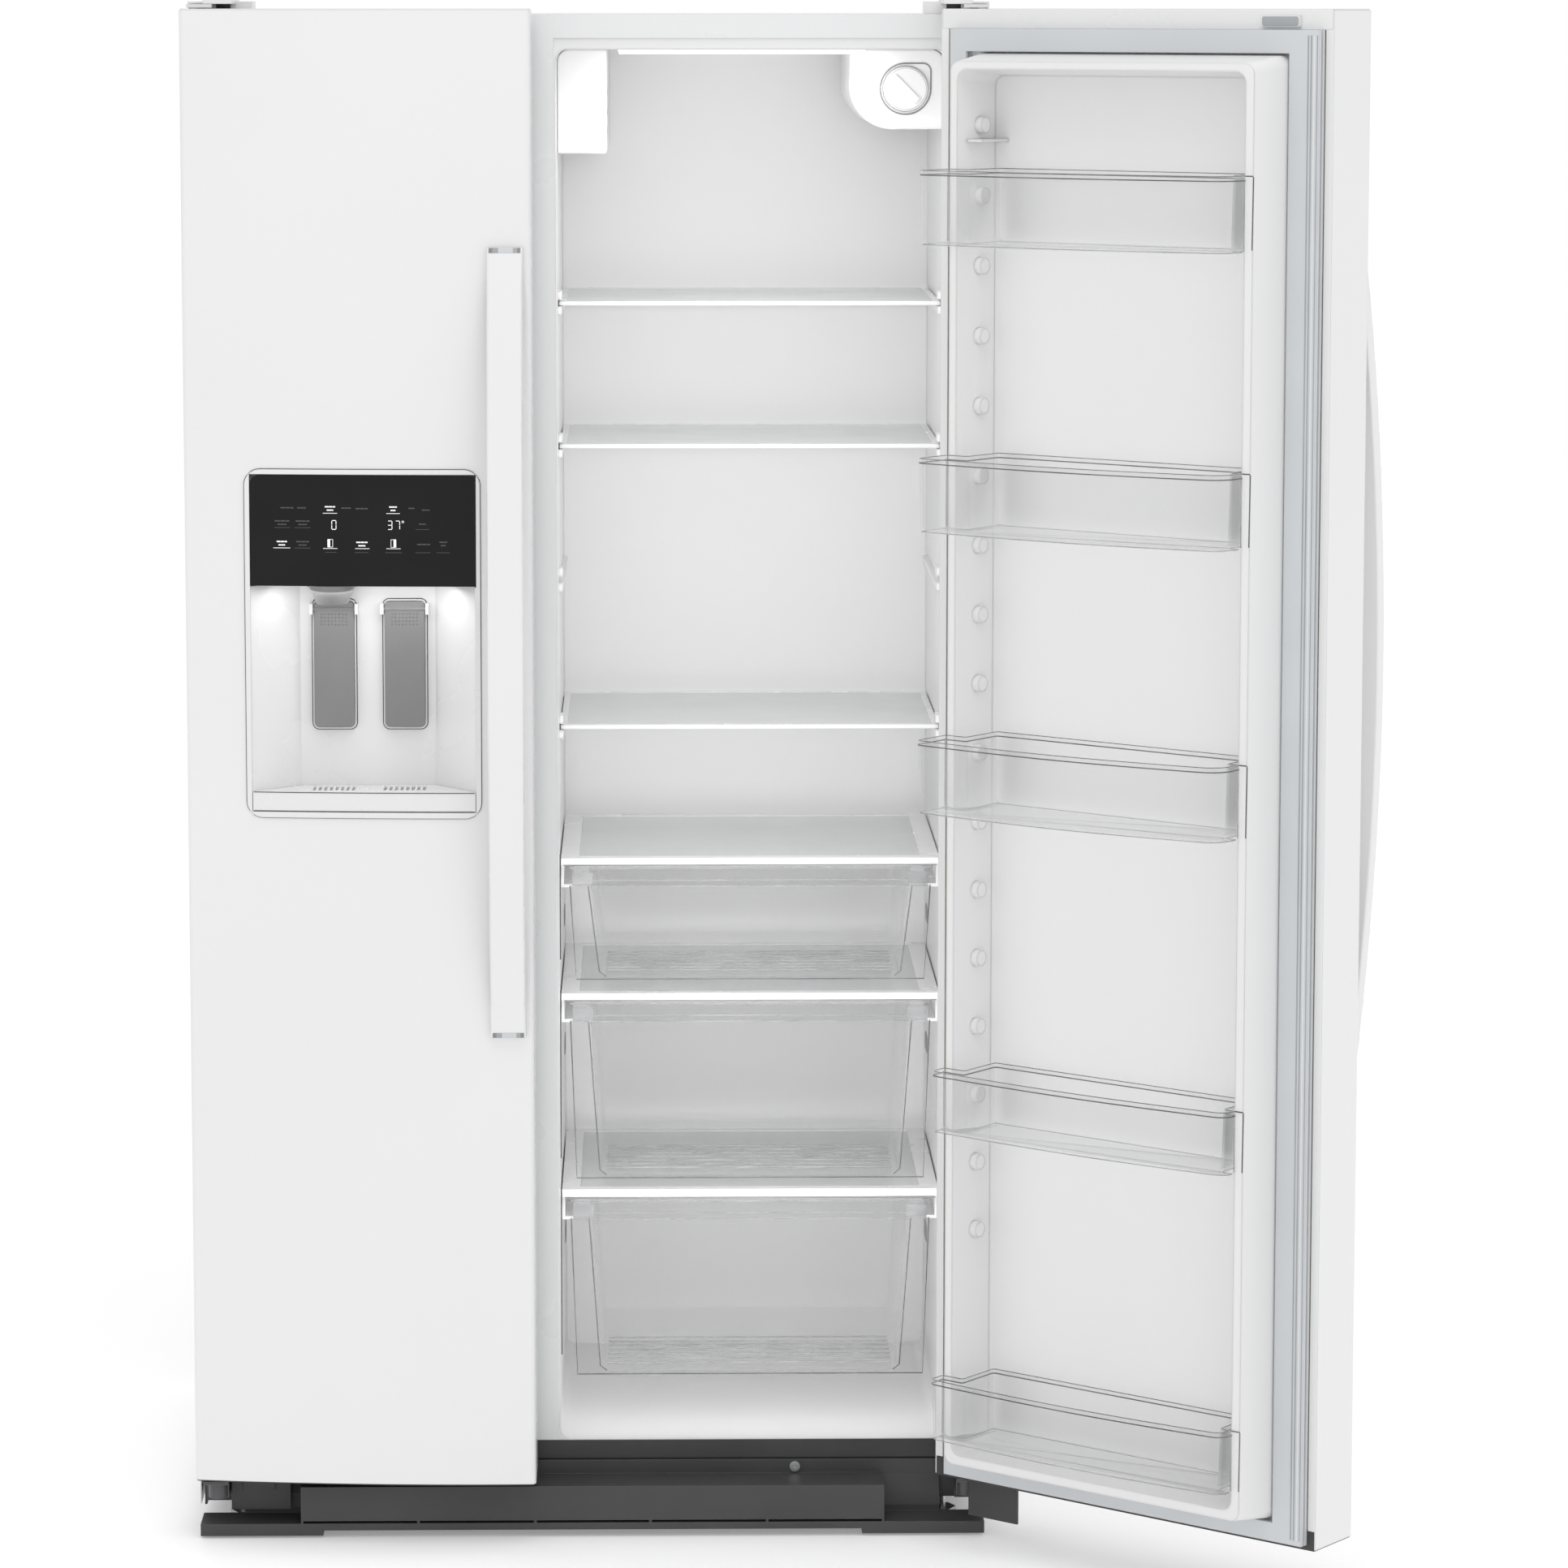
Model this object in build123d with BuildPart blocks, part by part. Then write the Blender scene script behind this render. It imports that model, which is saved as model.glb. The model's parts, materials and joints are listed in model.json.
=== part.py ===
from build123d import *
import os

os.makedirs("parts", exist_ok=True)

# Frame: millimetres, X to the right, Y into the refrigerator, Z up.
# The origin is on the floor below the middle of the cabinet's front face.

# ---------------------------------------------------------------- cabinet
HALF_W = 454.0  # half the cabinet's width
CAB_TOP = 1737.0
CAB_DEPTH = 625.0
SHEET = 1.2  # painted steel sheet
LINER_T = 3.0  # moulded plastic liner
CAV_Z0, CAV_Z1 = 99.0, 1697.0
FR_X0, FR_X1 = -38.0, 404.0  # fresh food cavity
FZ_X0, FZ_X1 = -404.0, -84.0  # freezer cavity
CAV_BACK = 450.0
EVAP_BACK = 545.0
EVAP_Z0 = 270.0
CAV_R = 14.0  # corner radius of both cavities
LINER_RIM = 9.0  # flat rim of each liner behind the front flange
FLANGE_TOP = 1710.0  # upper edge of both openings in the front flange
MACHINE_Y, MACHINE_Z = 470.0, 245.0  # compressor compartment, front and top

# ---------------------------------------------------------------- doors
DOOR_Z0, DOOR_Z1 = 70.0, 1743.0
CAP_H = 22.0
DOOR_BACK = -12.0  # inner plane of both doors
DOOR_APEX = -90.0  # foremost plane of the bowed fronts
BOW_RISE = 26.0
APEX_INSET = 48.0  # from the handle edge to the foremost line
FRIDGE_W, FREEZER_W = 512.0, 390.0
HINGE_X, HINGE_Y = 430.0, -40.0
FRIDGE_OPEN = 141.0  # rest angle of the fridge door
PIN_R, PIN_BORE_R = 5.0, 5.05
DAM_H = 64.0  # height of the raised wall round the inner panel
DAM_R = 12.0
GASKET_T = 11.7

# ---------------------------------------------------------------- handles
HANDLE_Z0, HANDLE_Z1 = 590.0, 1480.0
HANDLE_W, HANDLE_T = 40.0, 13.0
HANDLE_REACH = 55.0
HANDLE_INSET = 9.0  # from the door's handle edge

# ---------------------------------------------------------------- dispenser
DISP_X0, DISP_X1 = -386.0, -122.0
DISP_Z0, DISP_Z1 = 839.0, 1232.0
DISP_BACK = -25.0
PANEL_Z0 = 1101.0
TRAY_Z0, TRAY_Z1 = 846.0, 868.0
PADDLES = {"ice_paddle": -289.3, "water_paddle": -209.5}
PADDLE_W = 45.0
PADDLE_Z0, PADDLE_Z1 = 936.0, 1078.0
PADDLE_Y = -34.0

# ---------------------------------------------------------------- interior
SHELF_TOPS = [1408.0, 1243.0, 916.0]
SPARE_SUPPORT_Z = 1088.0
SHELF_Y0, SHELF_DEPTH = 124.0, 318.0
LIP_H = 5.0
COVER_TOPS = [765.0, 606.0, 374.0]
COVER_T = 9.0
CRISPER_Y0, CRISPER_Y1 = 90.0, 430.0
DRAWERS = [(622.0, 755.0), (387.0, 596.0), (153.0, 362.0)]
DRAWER_HALF = 209.5  # half width of the drawers' front plate, which clears the edge of the open door
MID_X = (FR_X0 + FR_X1) / 2.0
BINS = [  # rim height above the floor, depth of the bin, reach from the door
    (1568.0, 83.0, 129.0),
    (1252.0, 83.0, 129.0),
    (939.0, 83.0, 129.0),
    (562.0, 71.0, 98.0),
    (209.0, 71.0, 98.0),
]
BIN_WALL, BIN_FLOOR = 2.2, 2.6
FREEZER_BIN_RIMS = [1560.0, 1240.0, 920.0, 600.0, 280.0]
STUD_PITCH = 77.7
STUD_TOP = 1615.5
LEDGE_Z = 1600.0  # top of the small ledge below the highest stud
FILTER_X, FILTER_Z, FILTER_R = 360.0, 1652.0, 25.6


def save(piece, name, turn=None):
    """Labels one sub-part, turns it with its door where asked, and writes it."""
    shape = piece if turn is None else piece.rotate(turn, FRIDGE_OPEN)
    shape.label = name
    export_step(shape, f"parts/{name}.step")


def block(x, y, z, mode=Mode.ADD):
    """A box between two limits on each axis."""
    with Locations(((x[0] + x[1]) / 2, (y[0] + y[1]) / 2, (z[0] + z[1]) / 2)):
        Box(abs(x[1] - x[0]), y[1] - y[0], z[1] - z[0], mode=mode)


def rod(radius, at, length, axis="Z", mode=Mode.ADD):
    """A cylinder centred on a point, along one axis."""
    turns = {"X": (0, 90, 0), "Y": (90, 0, 0), "Z": (0, 0, 0)}
    with Locations(Location(at, turns[axis])):
        Cylinder(radius, length, mode=mode)


FRIDGE_AXIS = Axis((HINGE_X, HINGE_Y, 0), (0, 0, 1))

# ================================================================ cabinet body

with BuildPart() as cabinet_wrap:
    block((-HALF_W, HALF_W), (2, CAB_DEPTH), (25, CAB_TOP))
    block((-HALF_W + SHEET, HALF_W - SHEET), (0, CAB_DEPTH + 1), (0, CAB_TOP - SHEET), mode=Mode.SUBTRACT)
save(cabinet_wrap.part, "cabinet_wrap")

with BuildPart() as front_frame:
    block((-HALF_W, HALF_W), (0, 2), (99, CAB_TOP))
    for x0, x1 in ((FZ_X0 - 2, FZ_X1 + 2), (FR_X0 - 2, FR_X1 + 2)):
        block((x0, x1), (-1, 3), (90, FLANGE_TOP), mode=Mode.SUBTRACT)
save(front_frame.part, "front_frame")

with BuildPart() as back_panel:
    block((-HALF_W + 2, HALF_W - 2), (622, 624.5), (30, CAB_TOP - 2))
    for row in range(7):
        for x in range(-360, 361, 60):
            block((x - 22, x + 22), (620, 626), (60 + 22 * row, 66 + 22 * row), mode=Mode.SUBTRACT)
    rod(11, (-400, 627, 48), 8, "Y")
    rod(4.5, (-400, 627, 48), 20, "Y", mode=Mode.SUBTRACT)
save(back_panel.part, "back_panel")


def liner(x0, x1, evaporator):
    """A moulded cavity shell, open to the front, with shelf ledges on its side walls."""
    with BuildPart() as shell:
        with BuildSketch(Plane.XZ):
            with Locations(((x0 + x1) / 2, (CAV_Z0 + CAV_Z1) / 2)):
                RectangleRounded(x1 - x0 + 2 * LINER_T, CAV_Z1 - CAV_Z0 + 2 * LINER_T, CAV_R + LINER_T)
        extrude(amount=-(CAV_BACK + LINER_T))
        block((x0 - LINER_RIM, x1 + LINER_RIM), (0, 4.4), (CAV_Z0 - LINER_T, FLANGE_TOP + 6))
        if evaporator:
            block((x0 - LINER_T, x1 + LINER_T), (CAV_BACK, EVAP_BACK + LINER_T), (EVAP_Z0, CAV_Z1 + LINER_T))
        with BuildSketch(Plane.XZ):
            with Locations(((x0 + x1) / 2, (CAV_Z0 + CAV_Z1) / 2)):
                RectangleRounded(x1 - x0, CAV_Z1 - CAV_Z0, CAV_R)
        extrude(amount=-CAV_BACK, mode=Mode.SUBTRACT)
        if evaporator:
            block((x0, x1), (CAV_BACK - 1, EVAP_BACK), (EVAP_Z0 + LINER_T, CAV_Z1), mode=Mode.SUBTRACT)
        block((x0 - 50, x1 + 50), (-5, 2.1), (50, 1760), mode=Mode.SUBTRACT)
        if not evaporator:
            for top in SHELF_TOPS + [SPARE_SUPPORT_Z]:
                for wall, inner in ((x0 - 1, x0 + 5), (x1 + 1, x1 - 5)):
                    span = (min(wall, inner), max(wall, inner))
                    block(span, (116, 430), (top - 15, top - LIP_H - 0.5))
                    block(span, (120, 146), (top + 2, top + 12))
    return shell.part


save(liner(FR_X0, FR_X1, False), "fridge_liner")
save(liner(FZ_X0, FZ_X1, True), "freezer_liner")

with BuildPart() as cabinet_foam:
    block((-HALF_W + 2, HALF_W - 2), (4.6, 621), (96.3, CAB_TOP - 2))
    for x0, x1, back in ((FR_X0, FR_X1, CAV_BACK), (FZ_X0, FZ_X1, CAV_BACK)):
        block((x0 - LINER_T, x1 + LINER_T), (0, back + LINER_T), (90, CAV_Z1 + LINER_T), mode=Mode.SUBTRACT)
    block(
        (FZ_X0 - LINER_T, FZ_X1 + LINER_T), (CAV_BACK, EVAP_BACK + LINER_T), (EVAP_Z0, CAV_Z1 + LINER_T),
        mode=Mode.SUBTRACT,
    )
    block((-460, 460), (MACHINE_Y - 3, 630), (0, MACHINE_Z + 0.5), mode=Mode.SUBTRACT)
save(cabinet_foam.part, "cabinet_foam")

ROLLER_Y, ROLLER_R, AXLE_R = 585.0, 17.0, 4.0

with BuildPart() as base_frame:
    for side in (-1, 1):
        inner, outer = sorted((side * 449.0, side * 446.5))
        block((inner, outer), (2, 618), (24, 96))
        bracket = sorted((side * 399.0, side * 395.0))
        block(bracket, (ROLLER_Y - 16, ROLLER_Y + 16), (10, 40))
    block((-449, 449), (2, 4.5), (34, 96))
    block((-449, 449), (0, 2), (77.5, 98.5))
    block((-449, 449), (2, MACHINE_Y), (93.5, 96))
    block((-449, 449), (MACHINE_Y - 2.5, MACHINE_Y), (34, MACHINE_Z))
    block((-449, 449), (MACHINE_Y - 2.5, 618), (MACHINE_Z - 2.5, MACHINE_Z))
    block((-449, 449), (MACHINE_Y - 2.5, 618), (38, 40.5))
    for side in (-1, 1):
        block((side * 405.0 - 22, side * 405.0 + 22), (2, 60), (30, 34))
        block((side * 405.0 - 22, side * 405.0 + 22), (2, 6), (30, 60))
        rod(5.0, (side * 405.0, 36, 32), 10, mode=Mode.SUBTRACT)
    rod(AXLE_R + 0.05, (0, ROLLER_Y, ROLLER_R), 900, "X", mode=Mode.SUBTRACT)
save(base_frame.part, "base_frame")

with BuildPart() as rear_rollers:
    rod(AXLE_R, (0, ROLLER_Y, ROLLER_R), 872, "X")
    for side in (-1, 1):
        rod(ROLLER_R, (side * 416.0, ROLLER_Y, ROLLER_R), 24, "X")
    fillet(rear_rollers.edges().filter_by(GeomType.CIRCLE).filter_by(lambda e: e.radius > 10), 2.0)
save(rear_rollers.part, "rear_rollers")

with BuildPart() as leveling_feet:
    for side in (-1, 1):
        at = side * 405.0
        with BuildSketch(Plane.XY):
            with Locations((at, 36)):
                RegularPolygon(17.0, 6)
        extrude(amount=9)
        rod(5.0, (at, 36, 31), 46)
save(leveling_feet.part, "leveling_feet")

GRILLE_HALF = 449.5
GRILLE_MID = 334.5  # half the width of the raised middle
GRILLE_FRONT = -57.0
GRILLE_TOP = 60.0

with BuildPart() as base_grille:
    block((-GRILLE_HALF, GRILLE_HALF), (-11, 5), (0, 2.5))
    block((-GRILLE_HALF, GRILLE_HALF), (-11, -8.5), (0, 17))
    block((-GRILLE_HALF, GRILLE_HALF), (GRILLE_FRONT, -8.5), (14.5, 17))
    block((-GRILLE_HALF, GRILLE_HALF), (GRILLE_FRONT, GRILLE_FRONT + 3), (9, 17))
    for side in (-1, 1):
        ends = sorted((side * 309.0, side * GRILLE_HALF))
        block(ends, (GRILLE_FRONT, GRILLE_FRONT + 3), (3, 17))
        block(ends, (GRILLE_FRONT, -8.5), (3, 5.5))
        edge = sorted((side * (GRILLE_HALF - 2.5), side * GRILLE_HALF))
        block(edge, (GRILLE_FRONT, -8.5), (3, 17))
        cheek = sorted((side * GRILLE_MID, side * (GRILLE_MID - 2.5)))
        block(cheek, (GRILLE_FRONT, -8.5), (14.5, GRILLE_TOP))
        with BuildSketch(Plane.YZ.offset(side * 367.0)):
            with BuildLine():
                Polyline((-11, 16), (-11, 24), (-9, 40), (-3, 58), (-3, 76), (-0.6, 76), (-0.6, 58))
                Polyline((-0.6, 58), (-6.5, 40), (-8.5, 24), (-8.5, 16), (-11, 16))
            make_face()
        extrude(amount=33.0, both=True)
    block((-GRILLE_MID, GRILLE_MID), (GRILLE_FRONT, GRILLE_FRONT + 3), (20, GRILLE_TOP))
    block((-GRILLE_MID, GRILLE_MID), (GRILLE_FRONT, -0.6), (GRILLE_TOP - 2.5, GRILLE_TOP))
    block((-GRILLE_MID, GRILLE_MID), (-3, -0.6), (GRILLE_TOP - 2.5, 76))
    for x in (-200, -66, 66, 200):
        block((x - 1.5, x + 1.5), (GRILLE_FRONT, -0.6), (14.5, GRILLE_TOP))
    for side in (-1, 1):
        rod(3.2, (side * 233.0, -2, 68), 8, "Y", mode=Mode.SUBTRACT)
save(base_grille.part, "base_grille")

with BuildPart() as screws:
    for side in (-1, 1):
        rod(3.0, (side * 233.0, -0.5, 68), 5, "Y")
        rod(6.0, (side * 233.0, -4.4, 68), 2.8, "Y")
        rod(1.6, (side * 233.0, -5.6, 68), 1.2, "Y", mode=Mode.SUBTRACT)
        for y in (22, 46):
            rod(5.0, (side * 432.0, y, CAB_TOP + 5.3), 2.4)
            rod(1.5, (side * 432.0, y, CAB_TOP + 6.1), 1.2, mode=Mode.SUBTRACT)
        for z in (40, 54):
            rod(4.5, (side * 434.0, -4.0, z), 2.4, "Y")
            rod(1.4, (side * 434.0, -5.0, z), 1.0, "Y", mode=Mode.SUBTRACT)
save(screws.part, "screws")

with BuildPart() as hinge_brackets:
    for side in (-1, 1):
        arm = sorted((side * 418.0, side * 446.0))
        # top hinge: foot on the cabinet, step, arm over the door, pin down into the cap
        block(arm, (2, 60), (CAB_TOP, CAB_TOP + 4))
        block(arm, (2, 8), (CAB_TOP, CAB_TOP + 11))
        block(arm, (-54, 8), (CAB_TOP + 7, CAB_TOP + 11))
        rod(PIN_R, (side * HINGE_X, HINGE_Y, 1736.5), 17)
        # bottom hinge: plate on the base, arm under the door, boss and pin up into the cap
        block(arm, (-2.6, 1.9), (30, 66))
        block(arm, (-54, 1.9), (62, 66))
        rod(11.0, (side * HINGE_X, HINGE_Y, 54), 18)
        rod(PIN_R, (side * HINGE_X, HINGE_Y, 74), 18)
        web = sorted((side * 418.0, side * 421.0))
        block(web, (-40, 0), (44, 64))
save(hinge_brackets.part, "hinge_brackets")

with BuildPart() as hinge_covers:
    for side in (-1, 1):
        wide = sorted((side * 378.0, side * 450.0))
        top = sorted((side * 396.0, side * 428.0))
        block(wide, (10, 66), (CAB_TOP, CAB_TOP + 14))
        block(top, (-52, 66), (CAB_TOP + 11.2, CAB_TOP + 20))
        hollow = sorted((side * 402.0, side * 448.0))
        block(hollow, (0, 62.5), (CAB_TOP - 1, CAB_TOP + 11.2), mode=Mode.SUBTRACT)
save(hinge_covers.part, "hinge_covers")

# ---------------------------------------------------------------- machine compartment

with BuildPart() as compressor:
    at = (300.0, 545.0)
    with BuildSketch(Plane.XY.offset(52)):
        with Locations(at):
            Ellipse(82, 60)
    extrude(amount=118, taper=4)
    fillet(compressor.faces().sort_by(Axis.Z)[-1].edges(), 24)
    block((at[0] - 75, at[0] + 75), (at[1] - 55, at[1] + 55), (46, 52))
    for dx in (-62, 62):
        for dy in (-42, 42):
            rod(9, (at[0] + dx, at[1] + dy, 43.5), 5.8)
    block((at[0] - 100, at[0] - 70), (at[1] - 20, at[1] + 20), (80, 122))
save(compressor.part, "compressor")


def serpentine(name, points, radius):
    """A bent tube through a list of corner points."""
    with BuildPart() as tube:
        with BuildLine():
            path = FilletPolyline(*points, radius=12)
        with BuildSketch(Plane(origin=path @ 0, z_dir=path % 0)):
            Circle(radius)
        sweep()
    return tube.part


coil_points = []
for run in range(7):
    x = -370 + 52 * run
    zs = (75, 215) if run % 2 == 0 else (215, 75)
    coil_points += [(x, 545, zs[0]), (x, 545, zs[1])]
save(serpentine("condenser_coil", coil_points, 4.5), "condenser_coil")

FAN_X, FAN_Y, FAN_Z = 90.0, 545.0, 140.0

with BuildPart() as drain_pan:
    block((-420, 20), (480, 612), (42, 66))
    block((-417.5, 17.5), (482.5, 609.5), (44.5, 70), mode=Mode.SUBTRACT)
    block((40, 44), (478, 614), (41, 236))
    rod(60, (42, FAN_Y, FAN_Z), 8, "X", mode=Mode.SUBTRACT)
    block((40, 44), (FAN_Y - 62, FAN_Y + 62), (FAN_Z - 4, FAN_Z + 4))
    rod(20, (47, FAN_Y, FAN_Z), 14, "X")
    rod(3, (62, FAN_Y, FAN_Z), 20, "X")
save(drain_pan.part, "drain_pan")


def fan(at, axis, radius, shaft_r):
    """A five-bladed rotor with a hub bored for its shaft."""
    turns = {"X": (0, 90, 0), "Y": (90, 0, 0)}
    with BuildPart() as rotor:
        with Locations(Location(at, turns[axis])):
            Cylinder(16, 14)
        with Locations(Location(at, turns[axis])):
            with PolarLocations(0, 5):
                with Locations(Location(((radius + 13) / 2, 0, 0), (32, 0, 0))):
                    Box(radius - 13, 26, 1.8)
        with Locations(Location(at, turns[axis])):
            Cylinder(shaft_r + 0.05, 40, mode=Mode.SUBTRACT)
    return rotor.part


save(fan((64, FAN_Y, FAN_Z), "X", 52, 3), "condenser_fan")

# ---------------------------------------------------------------- freezer inside

with BuildPart() as evaporator_cover:
    block((FZ_X0 + 1, FZ_X1 - 1), (436, 439), (EVAP_Z0 + 3, 1300))
    for row in range(6):
        block((FZ_X0 + 70, FZ_X1 - 70), (430, 445), (320 + 16 * row, 327 + 16 * row), mode=Mode.SUBTRACT)
    rod(58, (-244, 437, 1180), 10, "Y", mode=Mode.SUBTRACT)
    for step in range(-3, 4):
        block((-304, -184), (436, 439), (1179 + 16 * step, 1181.4 + 16 * step))
    block((FZ_X0 + 1, FZ_X1 - 1), (439, 441), (1296, 1300))
    block((-246, -242), (439, 462), (1116, 1244))
    rod(18, (-244, 478, 1180), 32, "Y")
    rod(3, (-244, 505, 1180), 24, "Y")
save(evaporator_cover.part, "evaporator_cover")

save(fan((-244, 506, 1180), "Y", 55, 3), "evaporator_fan")

evaporator_points = []
for run in range(9):
    z = 330 + 78 * run
    xs = (-385, -103) if run % 2 == 0 else (-103, -385)
    evaporator_points += [(xs[0], 492, z), (xs[1], 492, z)]
save(serpentine("evaporator_coil", evaporator_points, 5.0), "evaporator_coil")

with BuildPart() as freezer_shelves:
    for top in (520.0, 740.0, 960.0, 1180.0):
        block((FZ_X0 + 1, FZ_X1 - 1), (110, 118), (top - 12, top))
        block((FZ_X0 + 1, FZ_X1 - 1), (418, 426), (top - 12, top))
        for x in range(int(FZ_X0) + 6, int(FZ_X1) - 4, 26):
            block((x - 3, x + 3), (110, 426), (top - 8, top - 3))
    block((FZ_X0 + 6, FZ_X1 - 6), (112, 424), (112, 290))
    block((FZ_X0 + 9, FZ_X1 - 9), (115, 421), (115, 300), mode=Mode.SUBTRACT)
save(freezer_shelves.part, "freezer_shelves")

with BuildPart() as ice_maker:
    block((-380, -108), (230, 420), (1560, 1680))
    block((-370, -118), (236, 414), (1550, 1640), mode=Mode.SUBTRACT)
    block((-396, -92), (112, 424), (1330, 1520))
    block((-392, -96), (116, 420), (1334, 1530), mode=Mode.SUBTRACT)
save(ice_maker.part, "ice_maker")

# ---------------------------------------------------------------- fresh food inside

with BuildPart() as air_duct_cover:
    block((-37.5, 19), (108, 449), (1578, 1696.5))
    fillet(air_duct_cover.edges().filter_by(Axis.Y).sort_by(Axis.X)[-2:], 3)
    fillet(air_duct_cover.edges().filter_by(Axis.Y).sort_by(lambda e: e.center().X - e.center().Z)[0], 14)
    block((-30, 16.5), (110.5, 452), (1580.5, 1690), mode=Mode.SUBTRACT)
    for row in range(3):
        block((14, 22), (140, 260), (1600 + 22 * row, 1606 + 22 * row), mode=Mode.SUBTRACT)
save(air_duct_cover.part, "air_duct_cover")

with BuildPart() as light_lens:
    with BuildSketch(Plane.XY.offset(CAV_Z1)):
        with Locations((172, 54)):
            RectangleRounded(280, 66, 10)
    extrude(amount=-5, taper=20)
save(light_lens.part, "light_lens")

FILTER_Y0, FILTER_Y1 = 92.0, 400.0

with BuildPart() as filter_housing:
    with BuildSketch(Plane.XZ.offset(-FILTER_Y0)):
        with BuildLine():
            Line((297, 1696.5), (389, 1696.5))
            RadiusArc((389, 1696.5), (403.5, 1682), 14.5)
            Polyline((403.5, 1682), (403.5, 1606), (352, 1606))
            ThreePointArc((352, 1606), (309, 1622), (297, 1664))
            Line((297, 1664), (297, 1696.5))
        make_face()
    extrude(amount=-(FILTER_Y1 - FILTER_Y0))
    fillet(filter_housing.faces().sort_by(Axis.Y)[0].edges().filter_by(GeomType.LINE).sort_by(Axis.Z)[:1], 2)
    rod(FILTER_R + 0.4, (FILTER_X, FILTER_Y0 + 130, FILTER_Z), 270, "Y", mode=Mode.SUBTRACT)
save(filter_housing.part, "filter_housing")

with BuildPart() as water_filter:
    rod(FILTER_R, (FILTER_X, FILTER_Y0 + 124, FILTER_Z), 260, "Y")
    fillet(water_filter.faces().sort_by(Axis.Y)[0].edges(), 2.5)
    with Locations(Location((FILTER_X, FILTER_Y0 - 6, FILTER_Z), (0, 45, 0))):
        Box(40, 4, 8)
    fillet(water_filter.edges().filter_by(Axis.Y), 1.2)
save(water_filter.part, "water_filter")


def shelf_frame(top):
    """A slide-in shelf frame with a front lip, open in the middle for its glass."""
    with BuildPart() as frame:
        block((FR_X0 + 1.5, FR_X1 - 1.5), (SHELF_Y0, SHELF_Y0 + SHELF_DEPTH - 14), (top - LIP_H, top))
        inside = (FR_X0 + 9, FR_X1 - 9)
        block(inside, (SHELF_Y0 + 9, SHELF_Y0 + SHELF_DEPTH - 22), (top - 9, top + 5), mode=Mode.SUBTRACT)
        block((FR_X0 + 9, FR_X1 - 9), (SHELF_Y0 + 9, SHELF_Y0 + 12), (top - LIP_H, top - 3.6))
        fillet(frame.edges().filter_by(Axis.X).group_by(Axis.Y)[0], 1.6)
    return frame.part


for number, top in enumerate(SHELF_TOPS, 1):
    save(shelf_frame(top), f"shelf_{number}")

COVER_GLASS_X = (-15.0, 381.0)

with BuildPart() as crisper_covers:
    for top, (low, high) in zip(COVER_TOPS, DRAWERS):
        block((FR_X0 + 1.5, FR_X1 - 1.5), (CRISPER_Y0, CRISPER_Y1), (top - COVER_T, top))
        block(COVER_GLASS_X, (CRISPER_Y0 + 16, CRISPER_Y1 - 12), (top - 20, top + 5), mode=Mode.SUBTRACT)
        for wall, inner, foot in ((FR_X0 + 1.5, FR_X0 + 5, FR_X0 + 14), (FR_X1 - 1.5, FR_X1 - 5, FR_X1 - 14)):
            block(sorted((wall, inner)), (100, 420), (high - 26, top - COVER_T))
            block(sorted((wall, foot)), (100, 420), (high - 26, high - 22))
save(crisper_covers.part, "crisper_covers")

with BuildPart() as shelf_glass:
    for top in SHELF_TOPS:
        pane_y = (SHELF_Y0 + 9.2, SHELF_Y0 + SHELF_DEPTH - 22.2)
        block((FR_X0 + 9.2, FR_X1 - 9.2), pane_y, (top - 3.4, top - 0.4))
    for top in COVER_TOPS:
        pane_x = (COVER_GLASS_X[0] + 0.2, COVER_GLASS_X[1] - 0.2)
        block(pane_x, (CRISPER_Y0 + 16.2, CRISPER_Y1 - 12.2), (top - 4.4, top - 1.0))
save(shelf_glass.part, "shelf_glass")


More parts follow.
